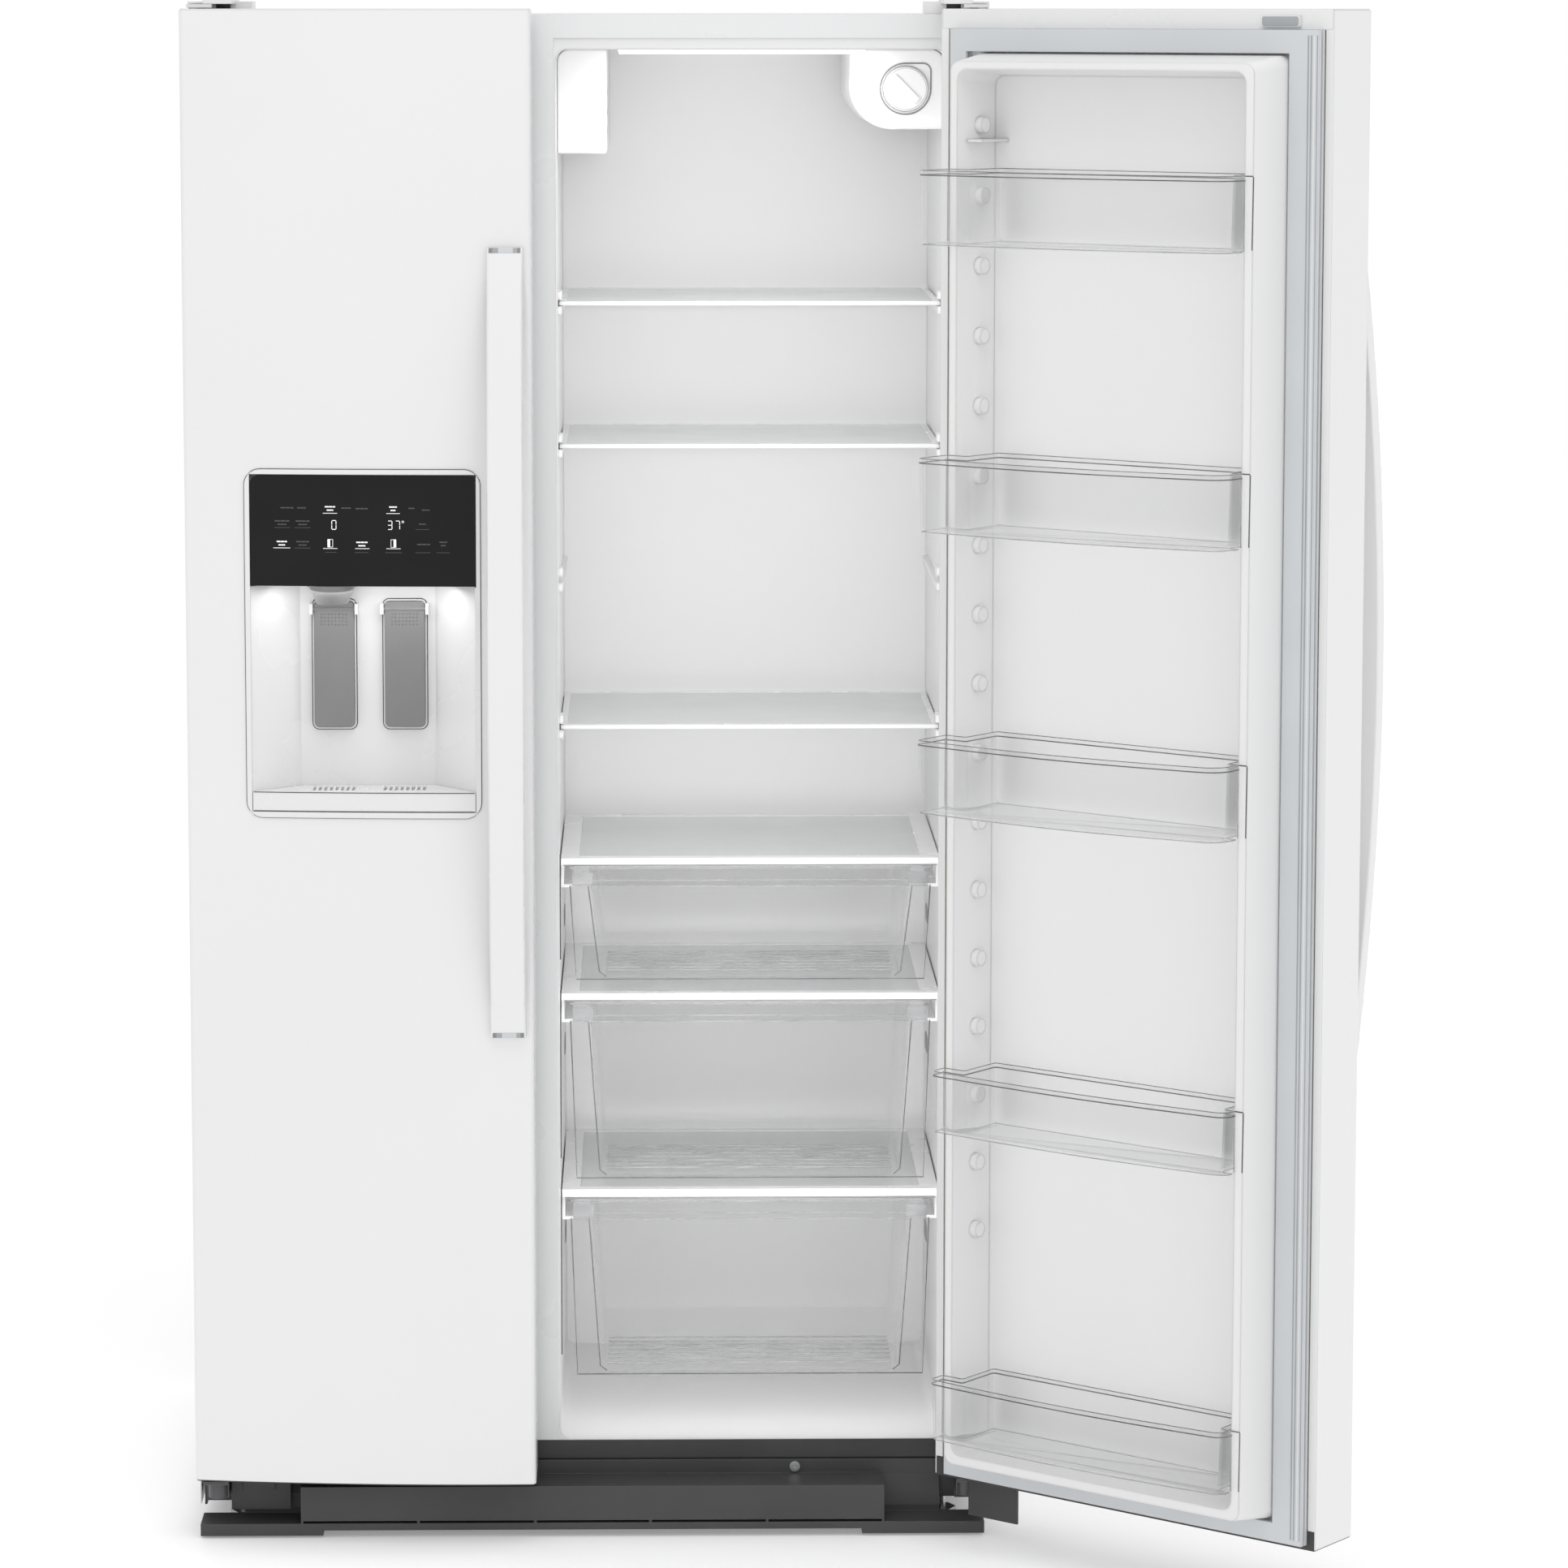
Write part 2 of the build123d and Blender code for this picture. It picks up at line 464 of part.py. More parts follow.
def crisper_drawer(low, high):
    """A tapered clear drawer: front plate, pull lip, side rims and a ribbed floor."""
    top_half, low_half = 188.5, 175.5
    with BuildPart() as drawer:
        for grow, z_low, mode in ((0.0, low, Mode.ADD), (-2.4, low + 2.6, Mode.SUBTRACT)):
            with BuildSketch(Plane.XY.offset(z_low)):
                with Locations((MID_X, (CRISPER_Y0 + CRISPER_Y1) / 2 - 4)):
                    RectangleRounded(2 * (low_half + grow), CRISPER_Y1 - CRISPER_Y0 - 28 + 2 * grow, 12)
            with BuildSketch(Plane.XY.offset(high if grow == 0 else high + 1)):
                with Locations((MID_X, (CRISPER_Y0 + CRISPER_Y1) / 2 - 2)):
                    RectangleRounded(2 * (top_half + grow), CRISPER_Y1 - CRISPER_Y0 - 8 + 2 * grow, 14)
            loft(mode=mode)
        # front plate, a little narrower at its foot
        with BuildSketch(Plane.XZ.offset(-CRISPER_Y0)):
            with BuildLine():
                Polyline(
                    (MID_X - DRAWER_HALF, high), (MID_X + DRAWER_HALF, high),
                    (MID_X + DRAWER_HALF - 7, low), (MID_X - DRAWER_HALF + 7, low),
                    (MID_X - DRAWER_HALF, high),
                )
            make_face()
        extrude(amount=-3)
        # pull lip across the top, rolled forward and down
        lip = (MID_X - DRAWER_HALF + 0.5, MID_X + DRAWER_HALF - 0.5)
        block(lip, (CRISPER_Y0 - 9, CRISPER_Y0 + 1), (high - 3, high))
        block(lip, (CRISPER_Y0 - 9, CRISPER_Y0 - 6.5), (high - 22, high))
        # side rims that ride on the guides
        for side in (-1, 1):
            rim = sorted((MID_X + side * 184, MID_X + side * (DRAWER_HALF - 0.5)))
            block(rim, (CRISPER_Y0 + 1, CRISPER_Y1 - 14), (high - 4, high))
            block(
                sorted((MID_X + side * 186.4, MID_X + side * (186.4 - 30))),
                (CRISPER_Y0 + 6, CRISPER_Y1 - 30), (high - 3.9, high + 2), mode=Mode.SUBTRACT,
            )
        for rib in range(7):
            y = CRISPER_Y0 + 34 + 20 * rib
            block((MID_X - 168, MID_X + 168), (y, y + 3), (low + 1, low + 5.2))
    return drawer.part


for number, (low, high) in enumerate(DRAWERS, 1):
    save(crisper_drawer(low, high), f"crisper_drawer_{number}")

# ================================================================ doors
# Both doors are drawn shut. A point is placed by u, its distance from the
# hinge edge towards the handle, and h, its height off the inner plane.


def door_x(side, u):
    return side * (HALF_W - u)


def front_y(width, u):
    apex = width - APEX_INSET
    return DOOR_APEX + BOW_RISE * ((u - apex) / apex) ** 2


def door_outline(side, width, back=DOOR_BACK):
    """Edges of the door's plan: flat back, square sides, bowed front."""
    corners = [(door_x(side, 0), back), (door_x(side, width), back)]
    front = [(door_x(side, u), front_y(width, u)) for u in (width, width / 2, 0)]
    return [
        Line(corners[0], corners[1]),
        Line(corners[1], front[0]),
        ThreePointArc(front[0], front[1], front[2]),
        Line(front[2], corners[0]),
    ]


def door_slab(side, width, z0, z1, grow, back=DOOR_BACK):
    """The door's plan, grown or shrunk, as a solid between two heights."""
    with BuildPart() as slab:
        with BuildSketch(Plane.XY.offset(z0)) as plan:
            with BuildLine():
                for edge in door_outline(side, width, back):
                    add(edge)
            make_face()
            fillet(plan.vertices().sort_by(Axis.Y)[:2], 6)
            if grow:
                offset(amount=grow, mode=Mode.REPLACE)
        extrude(amount=z1 - z0)
    return slab.part


def door_skin(side, width):
    """Bent sheet: bowed front, two sides and narrow returns round the back edge."""
    tall = (DOOR_Z0 + 1.5, DOOR_Z1 - 1.5)
    with BuildPart() as skin:
        add(door_slab(side, width, tall[0], tall[1], 0))
        add(door_slab(side, width, tall[0] - 1, tall[1] + 1, -SHEET), mode=Mode.SUBTRACT)
        xs = sorted((door_x(side, 10), door_x(side, width - 10)))
        block(xs, (DOOR_BACK - 3, DOOR_BACK + 1), (60, 1760), mode=Mode.SUBTRACT)
        xs = sorted((door_x(side, 1.4), door_x(side, width - 1.4)))
        block(xs, (DOOR_BACK - 3, DOOR_BACK + 1), (60, DOOR_Z0 + CAP_H), mode=Mode.SUBTRACT)
        block(xs, (DOOR_BACK - 3, DOOR_BACK + 1), (DOOR_Z1 - CAP_H, 1760), mode=Mode.SUBTRACT)
        if side < 0:
            with BuildSketch(Plane.XZ.offset(30)):
                with Locations(((DISP_X0 + DISP_X1) / 2, (DISP_Z0 + DISP_Z1) / 2)):
                    RectangleRounded(DISP_X1 - DISP_X0 + 0.6, DISP_Z1 - DISP_Z0 + 0.6, 18.3)
            extrude(amount=90, mode=Mode.SUBTRACT)
    return skin.part


def door_cap(side, width, top):
    """An end cap bored for the hinge pin; the lower one carries a hanging corner plate."""
    z0, z1 = (DOOR_Z1 - CAP_H, DOOR_Z1) if top else (DOOR_Z0, DOOR_Z0 + CAP_H)
    with BuildPart() as cap:
        add(door_slab(side, width, z0, z1, -SHEET - 0.1))
        xs = sorted((door_x(side, 1.5), door_x(side, width - 1.5)))
        block(xs, (DOOR_BACK - 6, DOOR_BACK), (z0, z1))
        hinge_at = (side * HINGE_X, HINGE_Y)
        pocket_z = (z0 - 1, z1 - 3) if top else (z0 + 3, z1 + 1)
        pocket = sorted((door_x(side, 60), door_x(side, width - 30)))
        block(pocket, (-56, DOOR_BACK - 4), pocket_z, mode=Mode.SUBTRACT)
        if top:
            rod(PIN_BORE_R, (*hinge_at, DOOR_Z1), 31, mode=Mode.SUBTRACT)
            latch = sorted((door_x(side, width - 89), door_x(side, width - 41)))
            block(latch, (DOOR_BACK - 1, DOOR_BACK + 4), (1724, 1736))
        else:
            rod(PIN_BORE_R, (*hinge_at, DOOR_Z0), 30, mode=Mode.SUBTRACT)
            plate = sorted((door_x(side, 38), door_x(side, 106)))
            with BuildSketch(Plane.XZ.offset(24)):
                with Locations(((plate[0] + plate[1]) / 2, 49)):
                    Rectangle(plate[1] - plate[0], 46)
            extrude(amount=3)
            block(plate, (-27, -20), (68, 73))
            tip = sorted((door_x(side, 52), door_x(side, 88)))
            block(tip, (-30, -26), (50, 62))
    return cap.part


def dam_sections(side, width, grow):
    """Outer and inner outlines of the raised liner wall at its foot and its face."""
    foot = (49 - grow, width - 49 + grow, 98 - grow, 1695 + grow)
    face = (58 - grow, width - 58 + grow, 107 - grow, 1686 + grow)
    inner_face = (68 + grow, width - 69 - grow, 118 + grow, 1677 - grow)
    inner_foot = (74 + grow, width - 75 - grow, 124 + grow, 1670 - grow)
    return foot, face, inner_face, inner_foot


def rect_at(side, y, box):
    """A rounded rectangle in u and z on the plane of constant y."""
    u0, u1, z0, z1 = box
    with BuildSketch(Plane.XZ.offset(-y)) as sketch:
        with Locations((door_x(side, (u0 + u1) / 2), (z0 + z1) / 2)):
            RectangleRounded(u1 - u0, z1 - z0, DAM_R)
    return sketch.sketch


def dam(side, width, grow, h0, h1):
    """The raised wall round the inner panel, as a ring with sloped sides."""
    foot, face, inner_face, inner_foot = dam_sections(side, width, grow)
    with BuildPart() as ring:
        add(loft([rect_at(side, DOOR_BACK + h0, foot), rect_at(side, DOOR_BACK + h1, face)], mode=Mode.PRIVATE))
        hole = [rect_at(side, DOOR_BACK + h0 - 1, inner_foot), rect_at(side, DOOR_BACK + h1 + 1, inner_face)]
        add(loft(hole, mode=Mode.PRIVATE), mode=Mode.SUBTRACT)
    return ring.part


def door_liner(side, width):
    """Moulded inner panel: flat sheet, hollow raised wall, bin studs and a small ledge."""
    raised = dam(side, width, 0, -0.5, DAM_H)
    hollow = dam(side, width, -2.4, -3.5, DAM_H - 2.4)
    with BuildPart() as panel:
        xs = sorted((door_x(side, 12), door_x(side, width - 12)))
        block(xs, (DOOR_BACK - 2.2, DOOR_BACK), (DOOR_Z0 + CAP_H + 0.5, DOOR_Z1 - CAP_H - 0.5))
        add(raised)
        add(hollow, mode=Mode.SUBTRACT)
        if side > 0:
            count = int((STUD_TOP - 300) / STUD_PITCH)
            for index in range(count + 1):
                z = STUD_TOP - STUD_PITCH * index
                rod(9, (door_x(side, 75), DOOR_BACK + 26, z), 10, "X")
            ledge = sorted((door_x(side, 71), door_x(side, 92)))
            block(ledge, (DOOR_BACK - 1, DOOR_BACK + 50), (LEDGE_Z - 3, LEDGE_Z))
    return panel.part


def door_foam(side, width):
    """Insulation that fills the door and the raised wall of its liner."""
    z0, z1 = DOOR_Z0 + CAP_H + 0.5, DOOR_Z1 - CAP_H - 0.5
    slab = door_slab(side, width, z0, z1, -SHEET - 0.3, back=DOOR_BACK - 2.6 + SHEET + 0.3)
    raised = dam(side, width, -2.8, -3.8, DAM_H - 2.8)
    with BuildPart() as core:
        add(slab)
        add(raised)
        if side < 0:
            block((DISP_X0 - 1, DISP_X1 + 1), (-120, -19), (DISP_Z0 - 1, DISP_Z1 + 1), mode=Mode.SUBTRACT)
    return core.part


def door_gasket(side, width):
    """Bellows seal between the door and the cabinet's front flange."""
    with BuildPart() as seal:
        for grow, h0, h1 in ((0, 0, 4.5), (-3, 4.5, 7.5), (0, 7.5, GASKET_T)):
            outer = sorted((door_x(side, 20 - grow), door_x(side, width - 11 + grow)))
            inner = sorted((door_x(side, 42 + grow), door_x(side, width - 48.5 - grow)))
            block(outer, (DOOR_BACK + h0, DOOR_BACK + h1), (76 - grow, 1721 + grow))
            block(inner, (DOOR_BACK + h0, DOOR_BACK + h1), (97 + grow, 1696 - grow), mode=Mode.SUBTRACT)
    return seal.part


def door_handle(side, width):
    """Bowed strap grip on two end posts."""
    u0, u1 = width - HANDLE_INSET - HANDLE_W, width - HANDLE_INSET
    door_front = front_y(width, (u0 + u1) / 2)
    mid_z, tip = (HANDLE_Z0 + HANDLE_Z1) / 2, 9.0
    with BuildPart() as grip:
        with BuildSketch(Plane.YZ.offset(door_x(side, (u0 + u1) / 2))) as profile:
            with BuildLine():
                reach, end = door_front - HANDLE_REACH, door_front - tip
                outer = ThreePointArc((end, HANDLE_Z0), (reach, mid_z), (end, HANDLE_Z1))
                inner_mid = reach + HANDLE_T
                Line((end, HANDLE_Z1), (door_front - 0.3, HANDLE_Z1))
                Line((door_front - 0.3, HANDLE_Z1), (door_front - 0.3, HANDLE_Z1 - 34))
                ThreePointArc(
                    (door_front - 0.3, HANDLE_Z1 - 34), (inner_mid, mid_z), (door_front - 0.3, HANDLE_Z0 + 34)
                )
                Line((door_front - 0.3, HANDLE_Z0 + 34), (door_front - 0.3, HANDLE_Z0))
                Line((door_front - 0.3, HANDLE_Z0), (end, HANDLE_Z0))
            make_face()
        extrude(amount=HANDLE_W / 2, both=True)
        long_edges = grip.edges().filter_by(GeomType.CIRCLE)
        fillet(long_edges, 2.2)
    return grip.part


for side, width, name, turn in (
    (1, FRIDGE_W, "fridge_door", FRIDGE_AXIS),
    (-1, FREEZER_W, "freezer_door", None),
):
    save(door_skin(side, width), f"{name}_skin", turn)
    save(door_foam(side, width), f"{name}_foam", turn)
    save(door_liner(side, width), f"{name}_liner", turn)
    save(door_gasket(side, width), f"{name}_gasket", turn)
    save(door_cap(side, width, True), f"{name}_top_cap", turn)
    save(door_cap(side, width, False), f"{name}_bottom_cap", turn)
    save(door_handle(side, width), f"{name}_handle", turn)


def bin_plan(side, width, reach, shrink):
    """Plan of a door bin: narrow back between the liner walls, bowed front over them."""
    left, right = 56 + shrink, width - 66 - shrink
    over_dam = DAM_H + 1
    drop = 0.375 * (reach - over_dam)  # the bow falls away towards the handle side
    corner_r = min(26, 0.85 * (reach - drop - over_dam)) - shrink
    with BuildSketch() as wide:
        with BuildLine():
            y0 = DOOR_BACK + over_dam + shrink
            a, b = (door_x(side, left), y0), (door_x(side, left), DOOR_BACK + reach - 7 - shrink)
            c, d = (door_x(side, right), DOOR_BACK + reach - drop - shrink), (door_x(side, right), y0)
            crown = (door_x(side, (left + right) / 2), DOOR_BACK + reach - shrink)
            Line(a, b)
            ThreePointArc(b, crown, c)
            Line(c, d)
            Line(d, a)
        make_face()
        fillet(wide.vertices().sort_by_distance(b)[0], 10 - shrink)
        fillet(wide.vertices().sort_by_distance(c)[0], corner_r)
    with BuildSketch() as narrow:
        u0, u1 = 84 + shrink, width - 80 - shrink
        back, front_edge = DOOR_BACK + 5 + shrink, DOOR_BACK + DAM_H + 8
        with Locations((door_x(side, (u0 + u1) / 2), (back + front_edge) / 2)):
            Rectangle(u1 - u0, front_edge - back)
    return wide.sketch + narrow.sketch


def door_bin(side, width, rim, deep, reach):
    """An open clear bin."""
    plan = bin_plan(side, width, reach, 0).moved(Location((0, 0, rim - deep)))
    hollow = bin_plan(side, width, reach, BIN_WALL).moved(Location((0, 0, rim - deep + BIN_FLOOR)))
    with BuildPart() as tray:
        extrude(plan, amount=deep)
        extrude(hollow, amount=deep, mode=Mode.SUBTRACT)
    return tray.part


for number, (rim, deep, reach) in enumerate(BINS, 1):
    save(door_bin(1, FRIDGE_W, rim, deep, reach), f"door_bin_{number}", FRIDGE_AXIS)

freezer_bins = [door_bin(-1, FREEZER_W, rim, 75.0, 96.0) for rim in FREEZER_BIN_RIMS]
with BuildPart() as freezer_door_bins:
    add(freezer_bins)
save(freezer_door_bins.part, "freezer_door_bins")

# ---------------------------------------------------------------- dispenser


def recess_plan(inset, back):
    """Plan of the dispenser bay: flat back and flared sides."""
    with BuildSketch() as plan:
        with BuildLine():
            Polyline(
                (DISP_X0 + 6 + inset, -110), (DISP_X0 + 6 + inset, -72), (-328 + inset, back), (-175 - inset, back),
                (DISP_X1 - 6 - inset, -84), (DISP_X1 - 6 - inset, -110), (DISP_X0 + 6 + inset, -110),
            )
        make_face()
    return plan.sketch


def front_slice(z0, z1, out, inner):
    """A layer of the freezer door's bowed front between two offsets."""
    outer = door_slab(-1, FREEZER_W, z0, z1, out)
    return outer if inner is None else outer - door_slab(-1, FREEZER_W, z0 - 1, z1 + 1, inner)


with BuildPart() as dispenser_housing:
    with BuildSketch(Plane.XZ.offset(22)):
        with Locations(((DISP_X0 + DISP_X1) / 2, (DISP_Z0 + DISP_Z1) / 2)):
            RectangleRounded(DISP_X1 - DISP_X0, DISP_Z1 - DISP_Z0, 18)
    extrude(amount=90)
    add(front_slice(800, 1270, 2.0, None), mode=Mode.INTERSECT)
    bay = recess_plan(0, DISP_BACK).moved(Location((0, 0, TRAY_Z0 - 0.4)))
    add(extrude(bay, amount=PANEL_Z0 - TRAY_Z0 + 0.4, mode=Mode.PRIVATE), mode=Mode.SUBTRACT)
    block((-380.4, -126.6), (-120, -56), (PANEL_Z0 - 1, 1226.4), mode=Mode.SUBTRACT)
    block((-374, -132), (-58, -40), (PANEL_Z0 + 12, 1216), mode=Mode.SUBTRACT)
    for x in PADDLES.values():
        for edge in (-1, 1):
            lug = sorted((x + edge * (PADDLE_W / 2 + 1), x + edge * (PADDLE_W / 2 + 5)))
            block(lug, (PADDLE_Y - 5, DISP_BACK + 1), (PADDLE_Z1 - 14, PADDLE_Z1 - 2))
        rod(3.05, (x, PADDLE_Y, PADDLE_Z1 - 8), PADDLE_W + 20, "X", mode=Mode.SUBTRACT)
save(dispenser_housing.part, "dispenser_housing")

with BuildPart() as control_panel:
    with BuildSketch(Plane.XZ.offset(40)):
        with BuildLine():
            Line((-380, PANEL_Z0), (-127, PANEL_Z0))
            Line((-127, PANEL_Z0), (-127, 1214))
            RadiusArc((-127, 1214), (-139, 1226), -12)
            Line((-139, 1226), (-368, 1226))
            RadiusArc((-368, 1226), (-380, 1214), -12)
            Line((-380, 1214), (-380, PANEL_Z0))
        make_face()
    extrude(amount=80)
    add(front_slice(1000, 1300, 1.2, -4.0), mode=Mode.INTERSECT)
save(control_panel.part, "control_panel")

with BuildPart() as dispenser_tray:
    bed = recess_plan(0.5, DISP_BACK - 0.5).moved(Location((0, 0, TRAY_Z0)))
    add(extrude(bed, amount=TRAY_Z1 - TRAY_Z0, mode=Mode.PRIVATE))
    add(front_slice(800, 900, 1.4, None), mode=Mode.INTERSECT)
    for x in PADDLES.values():
        for slot in range(8):
            dx = -22 + 44 * slot / 7
            block((x + dx - 1.6, x + dx + 1.6), (-66, -38), (TRAY_Z1 - 8, TRAY_Z1 + 1), mode=Mode.SUBTRACT)
save(dispenser_tray.part, "dispenser_tray")

with BuildPart() as ice_chute:
    chute_at = (PADDLES["ice_paddle"], -61, 1089.8)
    with Locations(chute_at):
        Cone(17, 27, 22)
    block((chute_at[0] - 28, chute_at[0] + 28), (-61, DISP_BACK - 0.2), (1098, 1100.8))
    with Locations(chute_at):
        Cone(14.5, 24.5, 22.2, mode=Mode.SUBTRACT)
save(ice_chute.part, "ice_chute")


def paddle(x):
    """A push paddle hung from a pin along its top edge."""
    with BuildPart() as lever:
        with BuildSketch(Plane.XZ.offset(-PADDLE_Y - 2)):
            with Locations((x, (PADDLE_Z0 + PADDLE_Z1) / 2)):
                RectangleRounded(PADDLE_W, PADDLE_Z1 - PADDLE_Z0, 5)
        extrude(amount=4)
        rod(3.0, (x, PADDLE_Y, PADDLE_Z1 - 8), PADDLE_W + 9, "X")
        for column in range(8):
            for row in range(4):
                spot = (x - 14 + 4 * column, PADDLE_Y - 2.2, PADDLE_Z1 - 14 - 4 * row)
                rod(0.9, spot, 1.6, "Y", mode=Mode.SUBTRACT)
    return lever.part


for name, x in PADDLES.items():
    save(paddle(x), name)
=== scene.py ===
import json
import math

import bmesh
import bpy
from mathutils import Matrix, Vector
from mathutils.bvhtree import BVHTree


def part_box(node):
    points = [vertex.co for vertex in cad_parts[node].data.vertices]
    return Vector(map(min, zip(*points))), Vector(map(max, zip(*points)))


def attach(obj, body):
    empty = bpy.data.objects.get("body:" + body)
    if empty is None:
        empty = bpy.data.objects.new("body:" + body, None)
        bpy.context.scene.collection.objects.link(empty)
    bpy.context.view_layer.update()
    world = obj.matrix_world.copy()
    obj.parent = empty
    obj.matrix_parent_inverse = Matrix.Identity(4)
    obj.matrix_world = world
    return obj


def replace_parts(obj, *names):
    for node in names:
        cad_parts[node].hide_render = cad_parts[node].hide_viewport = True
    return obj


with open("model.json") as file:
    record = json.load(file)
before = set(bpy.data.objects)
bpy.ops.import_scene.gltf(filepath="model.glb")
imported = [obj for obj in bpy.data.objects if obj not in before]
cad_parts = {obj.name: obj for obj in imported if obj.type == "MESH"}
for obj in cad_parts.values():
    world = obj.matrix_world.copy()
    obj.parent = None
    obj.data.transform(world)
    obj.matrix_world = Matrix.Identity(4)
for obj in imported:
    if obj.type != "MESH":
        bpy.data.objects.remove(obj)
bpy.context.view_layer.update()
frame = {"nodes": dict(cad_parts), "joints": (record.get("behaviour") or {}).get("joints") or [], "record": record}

NODES = frame["nodes"]
JOINTS = {j["name"]: j for j in frame["joints"]}
MM = 0.001

# ---------------------------------------------------------------- node materials


class Surface:
    """A principled material whose colour, roughness and relief come from noise in object space."""

    def __init__(self, name, color, rough, metallic=0.0, coat=0.0, specular=0.5):
        self.mat = bpy.data.materials.new(name)
        self.mat.use_nodes = True
        self.tree = self.mat.node_tree
        self.tree.nodes.clear()
        self.out = self.node("ShaderNodeOutputMaterial")
        self.bsdf = self.node("ShaderNodeBsdfPrincipled")
        self.link(self.bsdf.outputs[0], self.out.inputs["Surface"])
        self.coords = self.node("ShaderNodeTexCoord").outputs["Object"]
        self.color = color
        self.bsdf.inputs["Base Color"].default_value = (*color, 1)
        self.bsdf.inputs["Roughness"].default_value = rough
        self.bsdf.inputs["Metallic"].default_value = metallic
        self.bsdf.inputs["Specular IOR Level"].default_value = specular
        self.bsdf.inputs["Coat Weight"].default_value = coat
        self.bsdf.inputs["Coat Roughness"].default_value = 0.08
        self.normal = None

    def node(self, kind, **values):
        n = self.tree.nodes.new(kind)
        for key, value in values.items():
            setattr(n, key, value)
        return n

    def link(self, a, b):
        self.tree.links.new(a, b)

    def noise(self, scale, detail=4.0, stretch=None):
        source = self.coords
        if stretch:
            mapping = self.node("ShaderNodeMapping")
            mapping.inputs["Scale"].default_value = stretch
            self.link(source, mapping.inputs["Vector"])
            source = mapping.outputs[0]
        n = self.node("ShaderNodeTexNoise")
        n.inputs["Scale"].default_value = scale
        n.inputs["Detail"].default_value = detail
        self.link(source, n.inputs["Vector"])
        return n.outputs["Fac"]

    def mottle(self, other, scale, amount, stretch=None):
        """Mixes a second colour in by noise."""
        ramp = self.node("ShaderNodeMapRange")
        ramp.inputs["From Min"].default_value = 0.35
        ramp.inputs["From Max"].default_value = 0.65
        ramp.inputs["To Max"].default_value = amount
        self.link(self.noise(scale, 3.0, stretch), ramp.inputs["Value"])
        mix = self.node("ShaderNodeMix", data_type="RGBA")
        mix.inputs["A"].default_value = (*self.color, 1)
        mix.inputs["B"].default_value = (*other, 1)
        self.link(ramp.outputs["Result"], mix.inputs["Factor"])
        self.link(mix.outputs["Result"], self.bsdf.inputs["Base Color"])
        self.base = mix
        return self

    def edge_highlight(self, highlight_color, radius=0.0012, strength=0.6):
        """Painted highlight: mixes the given colour in along edges, where the bevelled normal leaves the true one,
        as if rounded edges caught the light.
        """
        bevel = self.node("ShaderNodeBevel", samples=4)
        bevel.inputs["Radius"].default_value = radius
        geometry = self.node("ShaderNodeNewGeometry")
        dot = self.node("ShaderNodeVectorMath", operation="DOT_PRODUCT")
        self.link(bevel.outputs[0], dot.inputs[0])
        self.link(geometry.outputs["Normal"], dot.inputs[1])
        ramp = self.node("ShaderNodeMapRange")
        ramp.inputs["From Min"].default_value = 1.0
        ramp.inputs["From Max"].default_value = 0.8
        ramp.inputs["To Max"].default_value = strength
        self.link(dot.outputs["Value"], ramp.inputs["Value"])
        mix = self.node("ShaderNodeMix", data_type="RGBA")
        mix.inputs["B"].default_value = (*highlight_color, 1)
        self.link(ramp.outputs["Result"], mix.inputs["Factor"])
        self.link(self.base.outputs["Result"], mix.inputs["A"])
        self.link(mix.outputs["Result"], self.bsdf.inputs["Base Color"])
        return self

    def gloss(self, low, high, scale, stretch=None):
        """Roughness that wanders between two values."""
        ramp = self.node("ShaderNodeMapRange")
        ramp.inputs["From Min"].default_value = 0.3
        ramp.inputs["From Max"].default_value = 0.7
        ramp.inputs["To Min"].default_value = low
        ramp.inputs["To Max"].default_value = high
        self.link(self.noise(scale, 5.0, stretch), ramp.inputs["Value"])
        self.link(ramp.outputs["Result"], self.bsdf.inputs["Roughness"])
        return self

    def relief(self, scale, strength, distance, stretch=None, bevel=0.0):
        """Fine bump, over softened CAD edges where bevel is given."""
        bump = self.node("ShaderNodeBump")
        bump.inputs["Strength"].default_value = strength
        bump.inputs["Distance"].default_value = distance
        self.link(self.noise(scale, 4.0, stretch), bump.inputs["Height"])
        if bevel:
            soft = self.node("ShaderNodeBevel", samples=4)
            soft.inputs["Radius"].default_value = bevel
            self.link(soft.outputs[0], bump.inputs["Normal"])
        self.link(bump.outputs[0], self.bsdf.inputs["Normal"])
        return self

    def clear(self, low, high, power=1.5):
        """See-through body that closes up towards grazing angles, and lets light reach what is behind it."""
        facing = self.node("ShaderNodeLayerWeight")
        facing.inputs["Blend"].default_value = 0.35
        curve = self.node("ShaderNodeMath", operation="POWER")
        curve.inputs[1].default_value = power
        self.link(facing.outputs["Facing"], curve.inputs[0])
        ramp = self.node("ShaderNodeMapRange")
        ramp.inputs["To Min"].default_value = low
        ramp.inputs["To Max"].default_value = high
        self.link(curve.outputs[0], ramp.inputs["Value"])
        ray = self.node("ShaderNodeLightPath")
        passing = self.node("ShaderNodeMath", operation="MAXIMUM")
        self.link(ray.outputs["Is Shadow Ray"], passing.inputs[0])
        self.link(ray.outputs["Is Diffuse Ray"], passing.inputs[1])
        stopped = self.node("ShaderNodeMath", operation="MULTIPLY_ADD")
        stopped.inputs[1].default_value = -0.85
        stopped.inputs[2].default_value = 1.0
        self.link(passing.outputs[0], stopped.inputs[0])
        alpha = self.node("ShaderNodeMath", operation="MULTIPLY")
        self.link(ramp.outputs["Result"], alpha.inputs[0])
        self.link(stopped.outputs[0], alpha.inputs[1])
        self.link(alpha.outputs[0], self.bsdf.inputs["Alpha"])
        return self

    def glow(self, color, strength):
        self.bsdf.inputs["Emission Color"].default_value = (*color, 1)
        self.bsdf.inputs["Emission Strength"].default_value = strength
        return self


def grey(v, tint=(0.0, 0.0, 0.0)):
    return (v + tint[0], v + tint[1], v + tint[2])


